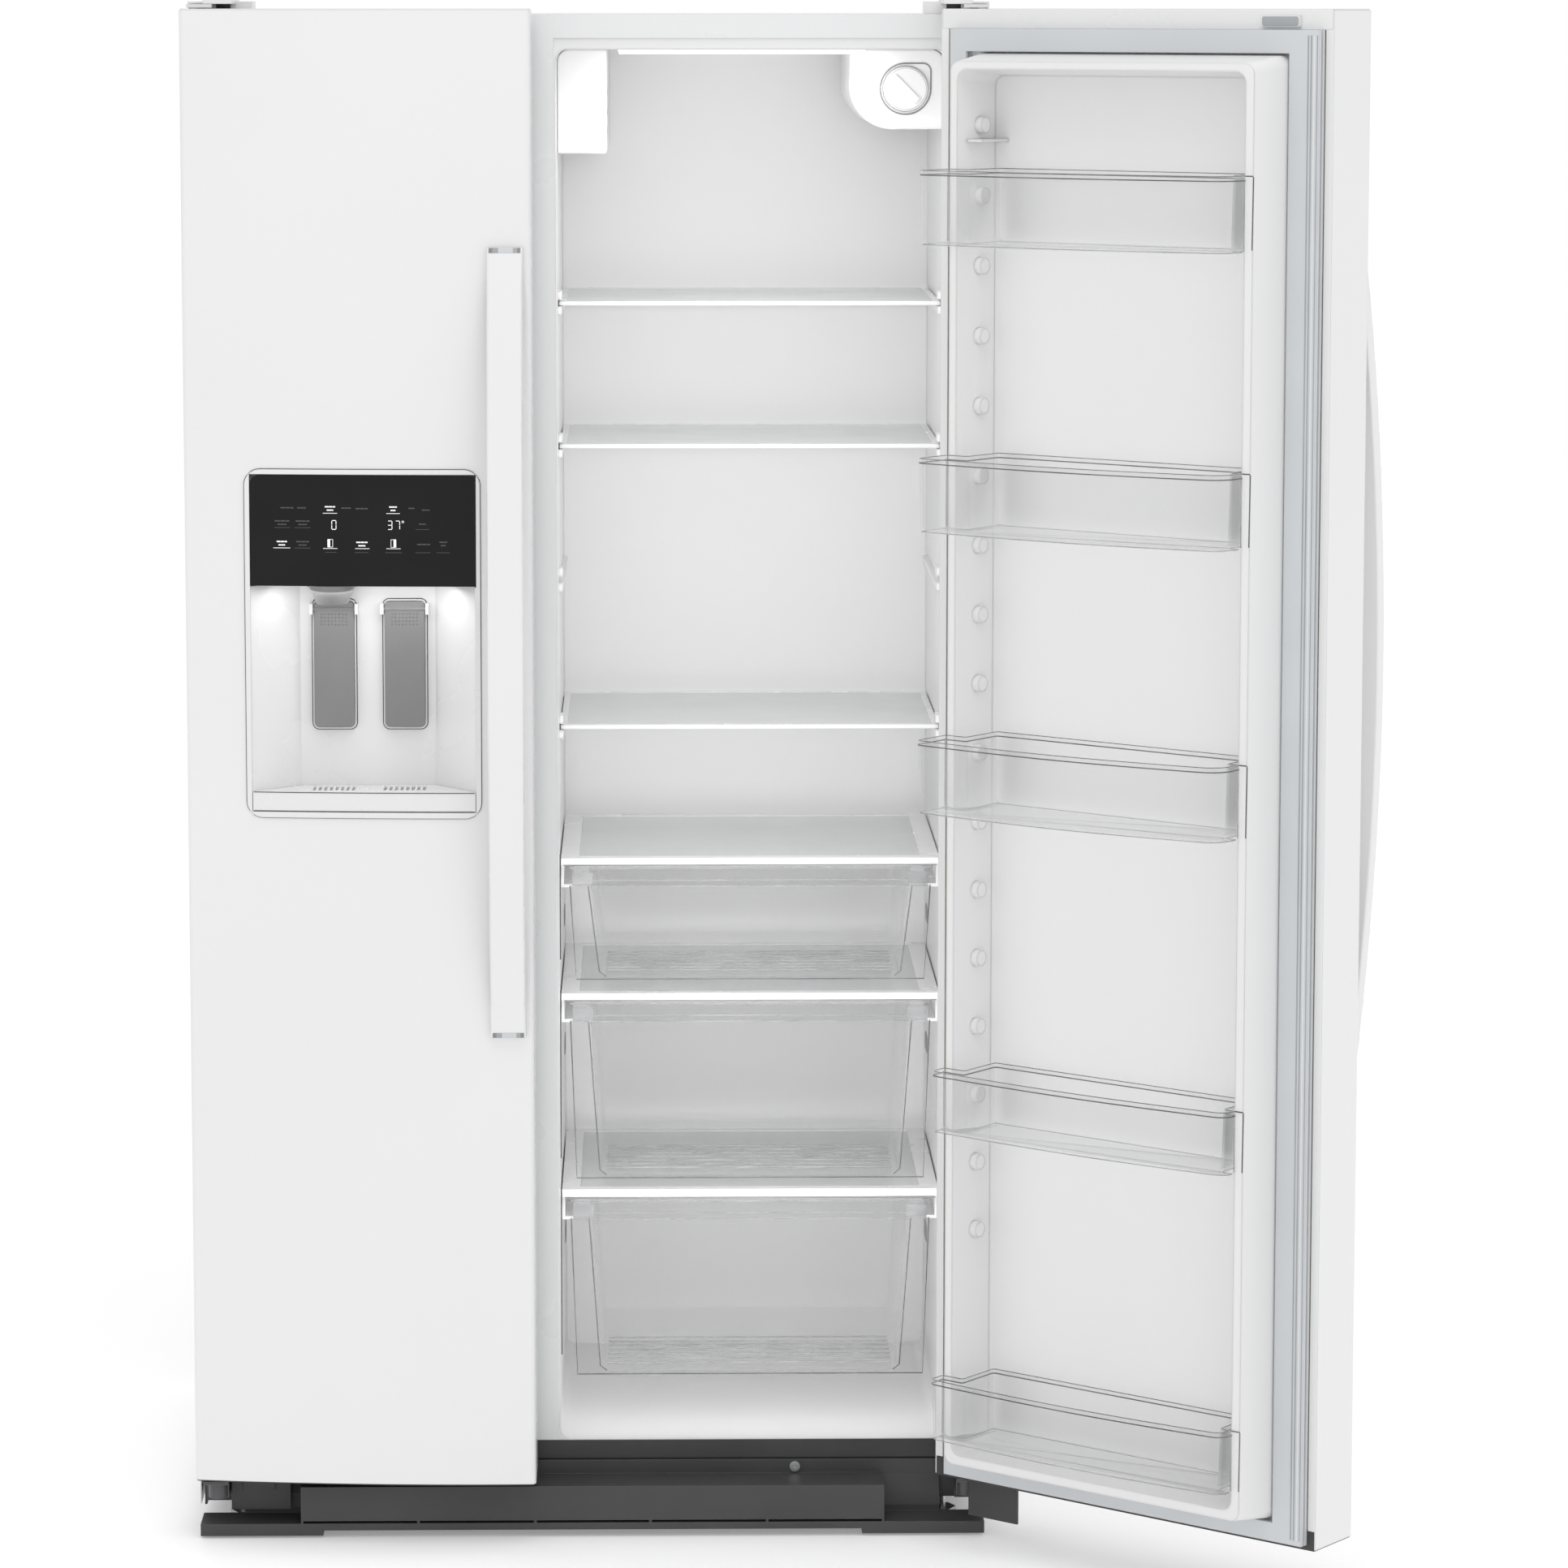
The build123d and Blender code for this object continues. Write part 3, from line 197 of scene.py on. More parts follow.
M = {}
# the edge colour that each material below is given is a painted highlight along its edges
M["painted_white"] = (
    Surface("painted_white", grey(0.83), 0.22, coat=0.25)
    .mottle(grey(0.815), 2.5, 0.8).edge_highlight(grey(0.90), 0.0010, 0.35)
    .gloss(0.21, 0.25, 5.0).relief(420.0, 0.05, 0.00006, bevel=0.0015)
)
M["painted_grey"] = (
    Surface("painted_grey", (0.80, 0.805, 0.81), 0.28, coat=0.15)
    .mottle((0.785, 0.79, 0.795), 3.0, 0.8).edge_highlight(grey(0.86), 0.0010, 0.4)
    .gloss(0.26, 0.32, 6.0).relief(420.0, 0.05, 0.00006, bevel=0.0010)
)
M["painted_dark"] = (
    Surface("painted_dark", grey(0.045), 0.42, specular=0.3)
    .mottle(grey(0.058), 8.0, 0.8).edge_highlight(grey(0.12), 0.0010, 0.5)
    .gloss(0.38, 0.48, 12.0).relief(700.0, 0.10, 0.00010, bevel=0.0010)
)
M["liner_white"] = (
    Surface("liner_white", grey(0.82), 0.34, coat=0.08)
    .mottle(grey(0.805), 2.2, 0.8).edge_highlight(grey(0.86), 0.003, 0.2)
    .gloss(0.32, 0.37, 5.0).relief(420.0, 0.05, 0.00008, bevel=0.0045)
)
M["trim_white"] = (
    Surface("trim_white", grey(0.81), 0.26, coat=0.2)
    .mottle(grey(0.79), 4.0, 0.8).edge_highlight(grey(0.88), 0.0012, 0.35)
    .gloss(0.24, 0.29, 8.0).relief(500.0, 0.05, 0.00006, bevel=0.0016)
)
M["grille_dark"] = (
    Surface("grille_dark", grey(0.052), 0.42, specular=0.35)
    .mottle(grey(0.066), 9.0, 0.7).edge_highlight(grey(0.16), 0.0012, 0.6)
    .gloss(0.38, 0.48, 16.0).relief(800.0, 0.12, 0.00012, bevel=0.0012)
)
M["clear_plastic"] = (
    Surface("clear_plastic", (0.80, 0.805, 0.81), 0.05, specular=0.6)
    .mottle((0.77, 0.775, 0.78), 5.0, 0.6).gloss(0.04, 0.08, 9.0)
    .relief(35.0, 0.05, 0.0003).clear(0.05, 0.62)
)
# painted shade: clear_edge and clear_dark colour the dark lines laid along edges of colourless clear plastic
M["clear_edge"] = (
    Surface("clear_edge", (0.26, 0.265, 0.27), 0.10, specular=0.8)
    .mottle((0.44, 0.445, 0.45), 25.0, 0.9).gloss(0.08, 0.16, 30.0)
    .relief(120.0, 0.06, 0.0001).clear(0.50, 0.95)
)
M["clear_dark"] = (
    Surface("clear_dark", grey(0.05), 0.10, specular=0.8)
    .mottle(grey(0.16), 14.0, 0.9).gloss(0.08, 0.16, 30.0)
    .relief(120.0, 0.06, 0.0001).clear(0.80, 1.0)
)
M["frosted_glass"] = (
    Surface("frosted_glass", (0.66, 0.67, 0.675), 0.20, specular=0.4)
    .mottle((0.64, 0.65, 0.655), 4.0, 0.7).gloss(0.18, 0.24, 7.0)
    .relief(60.0, 0.03, 0.0002).clear(0.10, 0.95, 1.0)
)
M["gasket_grey"] = (
    Surface("gasket_grey", (0.63, 0.65, 0.67), 0.48)
    .mottle((0.60, 0.62, 0.64), 9.0, 0.7).edge_highlight((0.72, 0.735, 0.75), 0.0012, 0.4)
    .gloss(0.44, 0.52, 12.0).relief(600.0, 0.10, 0.00012, bevel=0.0016)
)
M["gasket_dark"] = (
    Surface("gasket_dark", (0.34, 0.355, 0.37), 0.5)
    .mottle((0.42, 0.435, 0.45), 12.0, 0.7).gloss(0.46, 0.54, 12.0).relief(600.0, 0.10, 0.00012)
)
M["foam"] = (
    Surface("foam", (0.74, 0.66, 0.46), 0.9)
    .mottle((0.66, 0.57, 0.37), 40.0, 0.8).gloss(0.82, 0.98, 50.0).relief(260.0, 0.8, 0.0008)
)
M["hinge_steel"] = (
    Surface("hinge_steel", (0.10, 0.10, 0.105), 0.38, metallic=0.0)
    .mottle((0.06, 0.06, 0.064), 20.0, 0.8).edge_highlight((0.42, 0.42, 0.43), 0.0008, 0.6)
    .gloss(0.32, 0.48, 30.0).relief(500.0, 0.12, 0.00010, bevel=0.0007)
)
# the upper hinge brackets are painted white, the lower ones are dark
bracket = M["hinge_steel"]
height = bracket.node("ShaderNodeSeparateXYZ")
bracket.link(bracket.coords, height.inputs[0])
above = bracket.node("ShaderNodeMath", operation="GREATER_THAN")
above.inputs[1].default_value = 1.0
bracket.link(height.outputs["Z"], above.inputs[0])
painted = bracket.node("ShaderNodeMix", data_type="RGBA")
painted.inputs["B"].default_value = (0.72, 0.72, 0.72, 1)
bracket.link(above.outputs[0], painted.inputs["Factor"])
bracket.link(bracket.bsdf.inputs["Base Color"].links[0].from_socket, painted.inputs["A"])
bracket.link(painted.outputs["Result"], bracket.bsdf.inputs["Base Color"])
M["bright_steel"] = (
    Surface("bright_steel", (0.52, 0.53, 0.54), 0.30, metallic=1.0)
    .mottle((0.42, 0.43, 0.44), 60.0, 0.7).edge_highlight((0.72, 0.72, 0.73), 0.0006, 0.5)
    .gloss(0.22, 0.42, 60.0).relief(500.0, 0.12, 0.00010, bevel=0.0005)
)
M["compressor_black"] = (
    Surface("compressor_black", grey(0.016), 0.30, coat=0.3)
    .mottle(grey(0.026), 30.0, 0.8).edge_highlight(grey(0.07), 0.0015, 0.4)
    .gloss(0.26, 0.42, 40.0).relief(700.0, 0.3, 0.0003, bevel=0.0015)
)
M["copper_tube"] = (
    Surface("copper_tube", (0.72, 0.38, 0.22), 0.28, metallic=1.0)
    .mottle((0.44, 0.24, 0.15), 35.0, 0.8).gloss(0.22, 0.48, 50.0).relief(400.0, 0.15, 0.0002)
)
M["coil_aluminium"] = (
    Surface("coil_aluminium", (0.72, 0.73, 0.74), 0.32, metallic=1.0)
    .mottle((0.60, 0.61, 0.62), 50.0, 0.7).gloss(0.26, 0.46, 60.0)
    .relief(500.0, 0.15, 0.0002, stretch=(1, 1, 6))
)
M["panel_black"] = (
    Surface("panel_black", grey(0.006), 0.09, specular=0.22)
    .mottle(grey(0.009), 16.0, 0.6).edge_highlight(grey(0.04), 0.0006, 0.5)
    .gloss(0.08, 0.11, 9.0).relief(60.0, 0.02, 0.0001, bevel=0.0006)
)
M["paddle_grey"] = (
    Surface("paddle_grey", grey(0.20), 0.36)
    .mottle(grey(0.23), 9.0, 0.7).edge_highlight(grey(0.34), 0.0010, 0.4)
    .gloss(0.33, 0.42, 14.0).relief(600.0, 0.10, 0.00010, bevel=0.0010)
)
M["galvanised"] = (
    Surface("galvanised", (0.55, 0.56, 0.57), 0.38, metallic=0.9)
    .mottle((0.43, 0.44, 0.46), 22.0, 0.9).edge_highlight((0.70, 0.70, 0.71), 0.0008, 0.4)
    .gloss(0.28, 0.55, 30.0).relief(300.0, 0.12, 0.0002)
)
M["lens_frost"] = (
    Surface("lens_frost", grey(0.86), 0.35)
    .mottle(grey(0.83), 12.0, 0.6).gloss(0.32, 0.4, 20.0)
    .relief(300.0, 0.15, 0.0003, stretch=(8, 1, 1), bevel=0.001).glow((1.0, 1.0, 1.0), 0.5)
)
M["filter_white"] = (
    Surface("filter_white", grey(0.76), 0.26, coat=0.2)
    .mottle(grey(0.74), 10.0, 0.6).edge_highlight(grey(0.86), 0.001, 0.4)
    .gloss(0.24, 0.30, 12.0).relief(500.0, 0.06, 0.00008, bevel=0.0015)
)
M["roller_plastic"] = (
    Surface("roller_plastic", grey(0.045), 0.48)
    .mottle(grey(0.065), 30.0, 0.7).edge_highlight(grey(0.14), 0.001, 0.5)
    .gloss(0.42, 0.58, 50.0).relief(900.0, 0.3, 0.0002, bevel=0.001)
)
M["seam_grey"] = (
    Surface("seam_grey", grey(0.22), 0.5)
    .mottle(grey(0.30), 20.0, 0.7).gloss(0.44, 0.56, 20.0).relief(500.0, 0.1, 0.0001)
)
M["seam_dark"] = (
    Surface("seam_dark", grey(0.06), 0.5)
    .mottle(grey(0.10), 20.0, 0.7).gloss(0.44, 0.56, 20.0).relief(500.0, 0.1, 0.0001)
)
M["icon_bright"] = (
    Surface("icon_bright", grey(0.85), 0.35)
    .mottle(grey(0.78), 80.0, 0.5).gloss(0.3, 0.42, 90.0).relief(900.0, 0.1, 0.0001).glow((1, 1, 1), 0.35)
)
M["icon_dim"] = (
    Surface("icon_dim", grey(0.075), 0.35)
    .mottle(grey(0.06), 80.0, 0.5).gloss(0.3, 0.42, 90.0).relief(900.0, 0.1, 0.0001)
)
M["stage_floor"] = (
    Surface("stage_floor", grey(0.90), 0.55)
    .mottle(grey(0.895), 1.5, 0.4).gloss(0.5, 0.6, 3.0).relief(40.0, 0.02, 0.0002).glow((1, 1, 1), 0.25)
)

for entry in frame["record"]["subparts"]:
    node = NODES[entry["node"]]
    surface = M[entry["material_slot"]].mat
    for index in range(max(1, len(node.material_slots))):
        if not node.material_slots:
            node.data.materials.append(surface)
        node.material_slots[index].material = surface

# ---------------------------------------------------------------- piece helpers


def piece(name, verts, faces, material, body, smooth=True, place=None):
    """A mesh object that rides on a body; points are in millimetres of the row frame."""
    mesh = bpy.data.meshes.new(name)
    where = place or (lambda p: p)
    mesh.from_pydata([Vector(where(v)) * MM for v in verts], [], faces)
    bm = bmesh.new()
    bm.from_mesh(mesh)
    bmesh.ops.remove_doubles(bm, verts=bm.verts, dist=1e-6)
    bmesh.ops.recalc_face_normals(bm, faces=bm.faces)
    bm.to_mesh(mesh)
    bm.free()
    if smooth:
        mesh.shade_smooth()
        mesh.set_sharp_from_angle(angle=math.radians(35))
    obj = bpy.data.objects.new(name, mesh)
    bpy.context.scene.collection.objects.link(obj)
    mesh.materials.append(M[material].mat)
    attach(obj, body)
    return obj


def rings(loops, closed_ends=True):
    """Vertices and faces of a skin through equal loops of points."""
    count = len(loops[0])
    verts = [p for loop in loops for p in loop]
    faces = []
    for i in range(len(loops) - 1):
        for j in range(count):
            a, b = i * count + j, i * count + (j + 1) % count
            faces.append((a, b, b + count, a + count))
    if closed_ends:
        faces.append(tuple(range(count))[::-1])
        faces.append(tuple(range((len(loops) - 1) * count, len(loops) * count)))
    return verts, faces


def tube(path, radius, sides, closed=False):
    """A round tube through points, with its ends capped unless it closes on itself."""
    points = [Vector(p) for p in path]
    loops = []
    last = len(points) - 1
    for i, p in enumerate(points):
        before = points[i - 1] if (i or closed) else p
        after = points[(i + 1) % len(points)] if (i < last or closed) else p
        along = (after - before).normalized()
        side = along.cross(Vector((0, 0, 1)))
        if side.length < 0.1:
            side = along.cross(Vector((0, 1, 0)))
        side.normalize()
        up = side.cross(along)
        turn = [2 * math.pi * k / sides for k in range(sides)]
        loops.append([tuple(p + radius * (math.cos(t) * side + math.sin(t) * up)) for t in turn])
    if closed:
        loops.append(loops[0])
    return rings(loops, closed_ends=not closed)


def rounded(corners, radius, steps=5):
    """A closed 2-D outline with each corner rounded; a corner may carry its own radius."""
    out = []
    n = len(corners)
    for i in range(n):
        p = Vector(corners[i][:2])
        r = corners[i][2] if len(corners[i]) > 2 else radius
        a = (Vector(corners[i - 1][:2]) - p).normalized()
        b = (Vector(corners[(i + 1) % n][:2]) - p).normalized()
        half = math.acos(max(-1, min(1, a.dot(b)))) / 2
        if r < 0.05 or half > math.radians(88):
            out.append(tuple(p))
            continue
        reach = r / math.tan(half)
        centre = p + (a + b).normalized() * (r / math.sin(half))
        start, end = p + a * reach - centre, p + b * reach - centre
        swing = start.angle_signed(end)
        for k in range(steps + 1):
            t = -swing * k / steps
            out.append((
                centre.x + start.x * math.cos(t) - start.y * math.sin(t),
                centre.y + start.x * math.sin(t) + start.y * math.cos(t),
            ))
    return out


def rectangle(a0, a1, b0, b1):
    return [(a0, b0), (a1, b0), (a1, b1), (a0, b1)]


def arc(a, b, radius, start, sweep, steps):
    """Points on an arc about (a, b), with its angles in degrees."""
    turns = [math.radians(start + sweep * k / steps) for k in range(steps + 1)]
    return [(a + radius * math.cos(t), b + radius * math.sin(t)) for t in turns]


def inset(loop, amount):
    """Moves each point of a closed outline inwards, along its own normal."""
    n = len(loop)
    area = sum(loop[i - 1][0] * loop[i][1] - loop[i][0] * loop[i - 1][1] for i in range(n))
    sign = 1 if area > 0 else -1
    out = []
    for i in range(n):
        a, p, b = Vector(loop[i - 1]), Vector(loop[i]), Vector(loop[(i + 1) % n])
        d1, d2 = (p - a).normalized(), (b - p).normalized()
        normal = Vector((-(d1.y + d2.y), d1.x + d2.x)).normalized() * sign
        miter = max(0.5, math.sqrt(max(0.0, (1 + d1.dot(d2)) / 2)))
        out.append(tuple(p + normal * amount / miter))
    return out


def line(name, path, radius, material, body, sides=6, closed=False, place=None):
    """A thin tube that reads as a fine line."""
    verts, faces = tube(path, radius, sides, closed)
    return piece(name, verts, faces, material, body, place=place)


def raised(name, outline, steps, spot, material, body, place=None):
    """A low plate: its outline steps inwards as it rises, and spot makes a point of (a, b, height)."""
    loops = [[spot(a, b, height) for a, b in inset(outline, amount)] for amount, height in steps]
    verts, faces = rings(loops)
    return piece(name, verts, faces, material, body, place=place)


def box(node):
    """A node's box, in millimetres."""
    lo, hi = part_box(node)
    return lo / MM, hi / MM


def caster(node):
    """Finds a node's front surface at (x, z), in millimetres."""
    mesh = NODES[node].data
    tree = BVHTree.FromPolygons([v.co for v in mesh.vertices], [p.vertices for p in mesh.polygons])

    def front(x, z):
        hit = tree.ray_cast(Vector((x * MM, -1.0, z * MM)), Vector((0, 1, 0)))
        return hit[0].y / MM if hit[0] else None
    return front


# ---------------------------------------------------------------- the doors' own frames

hinge = JOINTS["fridge_door_hinge"]
HINGE = Vector((hinge["pos_m"][0] / MM, hinge["pos_m"][1] / MM, 0))
REST = math.radians(-hinge["range_deg"][0])
HALF_W = 454.0  # half the width over both doors
DOOR_BACK = -12.0  # inner plane of a shut door
FRIDGE_W, FREEZER_W = 512.0, 390.0


def on_fridge_door(p):
    """From (u, h, z): u from the hinge edge, h off the inner plane, to the row frame."""
    shut = Vector((HALF_W - p[0], DOOR_BACK + p[1], p[2]))
    return Matrix.Rotation(REST, 3, "Z") @ (shut - HINGE) + HINGE


def on_freezer_door(p):
    return Vector((p[0] - HALF_W, DOOR_BACK + p[1], p[2]))


def from_fridge_door(p):
    """From the row frame back to (u, h, z)."""
    shut = Matrix.Rotation(-REST, 3, "Z") @ (Vector(p) - HINGE) + HINGE
    return Vector((HALF_W - shut.x, shut.y - DOOR_BACK, shut.z))


def from_freezer_door(p):
    return Vector((p[0] + HALF_W, p[1] - DOOR_BACK, p[2]))


# ---------------------------------------------------------------- door bins

DAM_TOP = 65.0  # the door liner's raised wall, off the door's inner plane
BIN_DAM = DAM_TOP + 0.3  # underside of the wings, which rest over that wall
BIN_BACK_H = 5.5
BIN_BACK_ENDS = (84.5, 80.5)  # ends of the narrow back, from the hinge edge and from the handle edge
BIN_WING_ENDS = (56.3, 66.3)  # ends of the wings, likewise
BIN_DROP = 0.375  # how far the handle end falls back, per millimetre of reach past the wall
BIN_BOW_STEPS = 14


def bin_outline(width, reach):
    """Plan of a bin in (u, h): narrow back, wide bowed front with two rounded corners."""
    left, right = BIN_WING_ENDS[0], width - BIN_WING_ENDS[1]
    back_left, back_right = BIN_BACK_ENDS[0], width - BIN_BACK_ENDS[1]
    handle_end = reach - BIN_DROP * (reach - DAM_TOP) - 0.3
    hinge_end = reach - 7.3
    corner = min(25.0, 0.8 * (handle_end - BIN_DAM))
    bow = []
    for k in range(1, BIN_BOW_STEPS):
        t = k / BIN_BOW_STEPS
        lift = math.sin(math.pi * t) * (reach - 0.4 - (handle_end + hinge_end) / 2)
        bow.append((right + (left - right) * t, handle_end + (hinge_end - handle_end) * t + lift, 0))
    corners = [(back_left, BIN_BACK_H, 5), (back_right, BIN_BACK_H, 5)]
    corners += [(back_right, BIN_DAM, 3), (right, BIN_DAM, 2), (right, handle_end, corner)]
    corners += [p for p in bow if p[0] < right - corner]
    corners += [(left, hinge_end, 8), (left, BIN_DAM, 2), (back_left, BIN_DAM, 3)]
    return rounded(corners, 4)


def make_bin(node, rim, deep, reach, width, place, body):
    """A clear bin with a thick rolled rim, and painted shade: the dark lines along its edges."""
    outline = bin_outline(width, reach)
    low = rim - deep
    profile = [
        (8.0, low), (4.5, low + 0.5), (2.6, low + 2.2), (1.8, low + 5.0), (0.9, rim - 9.0), (0.5, rim - 6.0),
        (0.0, rim - 5.2), (0.0, rim - 0.8), (0.6, rim), (2.2, rim), (2.8, rim - 0.8), (3.0, rim - 7.0),
        (4.4, low + 7.0), (6.4, low + 3.6), (9.5, low + 2.6),
    ]
    verts, faces = rings([[(u, h, z) for u, h in inset(outline, amount)] for amount, z in profile])
    shell = piece(f"{node}_shell", verts, faces, "clear_plastic", body, place=place)
    for tag, amount, z, radius, material in (
        ("rim_line", 0.4, rim - 5.6, 0.75, "clear_dark"), ("rim_top", 1.2, rim - 0.6, 0.5, "clear_dark"),
        ("foot_line", 3.0, low + 1.6, 0.6, "clear_edge"),
    ):
        path = [(u, h, z) for u, h in inset(outline, amount)]
        line(f"{node}_{tag}", path, radius, material, body, closed=True, place=place)
    hook_h = BIN_DAM + 0.9
    hook = [
        (width - 67.4, hook_h, rim - 0.8), (width - 57.2, hook_h, rim - 0.8),
        (width - 56.5, hook_h, rim - 2.0), (width - 57.4, hook_h, low + 4.0),
    ]
    line(f"{node}_hook_line", hook, 0.8, "clear_dark", body, place=place)
    post_h = BIN_DAM + 1.3
    for tag, u in (("hinge_post", 57.4), ("handle_post", width - 67.4)):
        path = [(u, post_h, low + 3), (u, post_h, rim - 4)]
        line(f"{node}_{tag}", path, 0.8, "clear_edge", body, place=place)
    return shell


# height of the rim, depth and reach of each bin of the fridge door, from the top
BIN_SIZES = ((1568, 83, 129), (1252, 83, 129), (939, 83, 129), (562, 71, 98), (209, 71, 98))
for number, (rim, deep, reach) in enumerate(BIN_SIZES, 1):
    name = f"door_bin_{number}"
    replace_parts(make_bin(name, rim, deep, reach, FRIDGE_W, on_fridge_door, name), name)

for number, rim in enumerate((1560, 1240, 920, 600, 280), 1):
    shell = make_bin(f"freezer_bin_{number}", rim, 75, 96, FREEZER_W, on_freezer_door, "freezer_door")
    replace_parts(shell, "freezer_door_bins")

# ---------------------------------------------------------------- crisper drawers, one skin per clear wall

DRAWER_TOP_HALF = 187.3  # half width of the box at its rim
# half width, near and far end from the lip's front, corner radius, height over the foot or under the rim
DRAWER_PLANS = (
    (168.5, 26.0, 324.0, 9, 0.4), (172.6, 21.9, 328.1, 11, 1.6), (174.3, 20.2, 329.8, 12, 5.0),
    (187.1, 12.4, 341.4, 13, -4.0), (DRAWER_TOP_HALF, 12.2, 341.8, 13, -0.2),
)
PLATE_DEPTH = 10.4  # the front plate, behind the lip's front
PLATE_TAPER = 7.0  # its narrowing at the foot
RIB_COUNT, RIB_PITCH, RIB_START, RIB_HALF = 7, 20, 44.5, 167


def joined(parts):
    """Several (vertices, faces) as one."""
    verts, faces = [], []
    for v, f in parts:
        faces += [tuple(i + len(verts) for i in face) for face in f]
        verts += v
    return verts, faces


def sheet(profile, x0, x1):
    """A skin that carries a (y, z) profile from x0 to x1."""
    verts = [(x, y, z) for y, z in profile for x in (x0, x1)]
    faces = [(2 * k, 2 * k + 1, 2 * k + 3, 2 * k + 2) for k in range(len(profile) - 1)]
    return verts, faces


def drawer_skin(lo, hi):
    """Box, front plate, pull lip and side rims of a drawer, inside its CAD box."""
    mid, half = (lo.x + hi.x) / 2, (hi.x - lo.x) / 2
    plans = []
    for wide, near, far, corner, height in DRAWER_PLANS:
        z = (lo.z if height > 0 else hi.z) + height
        corners = rectangle(mid - wide, mid + wide, lo.y + near, lo.y + far)
        plans.append([(x, y, z) for x, y in rounded(corners, corner, 5)])
    verts, faces = rings(plans, closed_ends=False)
    faces.append(tuple(range(len(plans[0]))))
    plate_y, top, foot = lo.y + PLATE_DEPTH, hi.z - 0.3, lo.z + 0.2
    plate = [
        (mid - half, plate_y, top), (mid + half, plate_y, top),
        (mid + half - PLATE_TAPER, plate_y, foot), (mid - half + PLATE_TAPER, plate_y, foot),
    ]
    lip = [(plate_y, top), (lo.y + 2.4, top), (lo.y + 0.8, hi.z - 1.8), (lo.y + 0.8, hi.z - 21.8)]
    parts = [(verts, faces), (plate, [(0, 1, 2, 3)]), sheet(lip, mid - half + 0.5, mid + half - 0.5)]
    for side in (-1, 1):
        inner, outer = mid + side * DRAWER_TOP_HALF, mid + side * (half - 0.5)
        rim = ((inner, hi.z - 0.2), (outer, hi.z - 0.2), (outer, hi.z - 3.8))
        verts = [(x, y, z) for x, z in rim for y in (plate_y, hi.y - 8.0)]
        parts.append((verts, [(0, 1, 3, 2), (2, 3, 5, 4)]))
    return joined(parts)


def drawer_lines(lo, hi):
    """Painted shade: the fine dark lines along a clear drawer's edges, as name, whether it is dark, and path."""
    mid = (lo.x + hi.x) / 2
    front = lo.y + 8.6
    yield "plate", True, [
        (lo.x + 0.6, front, hi.z - 22), (mid - 202, front, lo.z + 0.8), (mid + 202, front, lo.z + 0.8),
        (hi.x - 0.6, front, hi.z - 22),
    ]
    for tag, side in (("left", -1), ("right", 1)):
        yield tag, True, [
            (mid + side * 188, front + 4, hi.z - 23), (mid + side * 175.5, front + 12, lo.z + 8),
            (mid + side * 168, front + 14, lo.z + 1.5),
        ]
    for tag, margin, y, z in (
        ("lip", 1, lo.y + 0.8, hi.z - 21.6), ("lip_top", 1, lo.y + 0.8, hi.z - 0.8),
        ("lip_mid", 26, lo.y + 0.4, hi.z - 14.5),
    ):
        yield tag, False, [(lo.x + margin, y, z), (hi.x - margin, y, z)]


for number in (1, 2, 3):
    name = f"crisper_drawer_{number}"
    lo, hi = box(name)
    verts, faces = drawer_skin(lo, hi)
    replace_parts(piece(f"{name}_skin", verts, faces, "clear_plastic", name), name)
    for tag, dark, path in drawer_lines(lo, hi):
        radius, material = (0.75, "clear_dark") if dark else (0.6, "clear_edge")
        line(f"{name}_{tag}", path, radius, material, name)
    # painted shade: the lip's end blocks and the floor ribs are drawn in the dark edge colour
    for tag, x0, x1 in (("block_left", lo.x + 3, lo.x + 27), ("block_right", hi.x - 27, hi.x - 3)):
        outline = rounded(rectangle(x0, x1, hi.z - 19, hi.z - 5), 2, 3)
        steps = ((0.0, lo.y + 0.1), (0.4, lo.y - 0.2), (1.0, lo.y - 0.3))
        raised(
            f"{name}_{tag}", outline, steps, lambda x, z, y: (x, y, z), "clear_edge", name,
        )
    mid = (lo.x + hi.x) / 2
    for rib in range(RIB_COUNT):
        y, z = lo.y + RIB_START + RIB_PITCH * rib, lo.z + 5.2
        path = [(mid - RIB_HALF, y, z), (mid + RIB_HALF, y, z)]
        line(f"{name}_rib_{rib}", path, 1.1, "clear_edge", name, 8)

# ---------------------------------------------------------------- crisper bay: seams and wall slots

SLOT_Y = (372, 420)
SLOT_HALF, SLOT_DROP = 11, 108  # half height, and the centre's distance below the drawer's rim

covers_lo, covers_hi = box("crisper_covers")
for number in (1, 2, 3):
    lo, hi = box(f"crisper_drawer_{number}")
    y, z = covers_lo.y - 0.2, hi.z + 1.6
    path = [(covers_lo.x + 3, y, z), (covers_hi.x - 3, y, z)]
    line(f"crisper_seam_{number}", path, 0.7, "seam_grey", "cabinet")
    slot_z = hi.z - SLOT_DROP
    outline = rounded(rectangle(*SLOT_Y, slot_z - SLOT_HALF, slot_z + SLOT_HALF), 6, 4)
    for tag, wall, inward in (("left", covers_lo.x - 1.0, 1), ("right", covers_hi.x + 1.0, -1)):
        path = [(wall, covers_lo.y + 1, lo.z + 24), (wall, covers_lo.y + 1, hi.z + 14)]
        line(f"crisper_gap_{number}_{tag}", path, 0.8, "seam_dark", "cabinet")
        steps = [(amount, wall + inward * rise) for amount, rise in ((0.0, -0.3), (0.5, 0.3), (1.4, 0.5))]
        # painted shade: each wall slot is a grey plate standing for the shade inside the slot
        raised(
            f"crisper_slot_{number}_{tag}", outline, steps, lambda y, z, x: (x, y, z), "seam_grey", "cabinet",
        )

# ---------------------------------------------------------------- filter: its ring and the knob's edge

RING, RING_CORNER = 29.0, 9.0  # round, but squared off with a rounded corner at its upper right
KNOB_LINE = 23.6

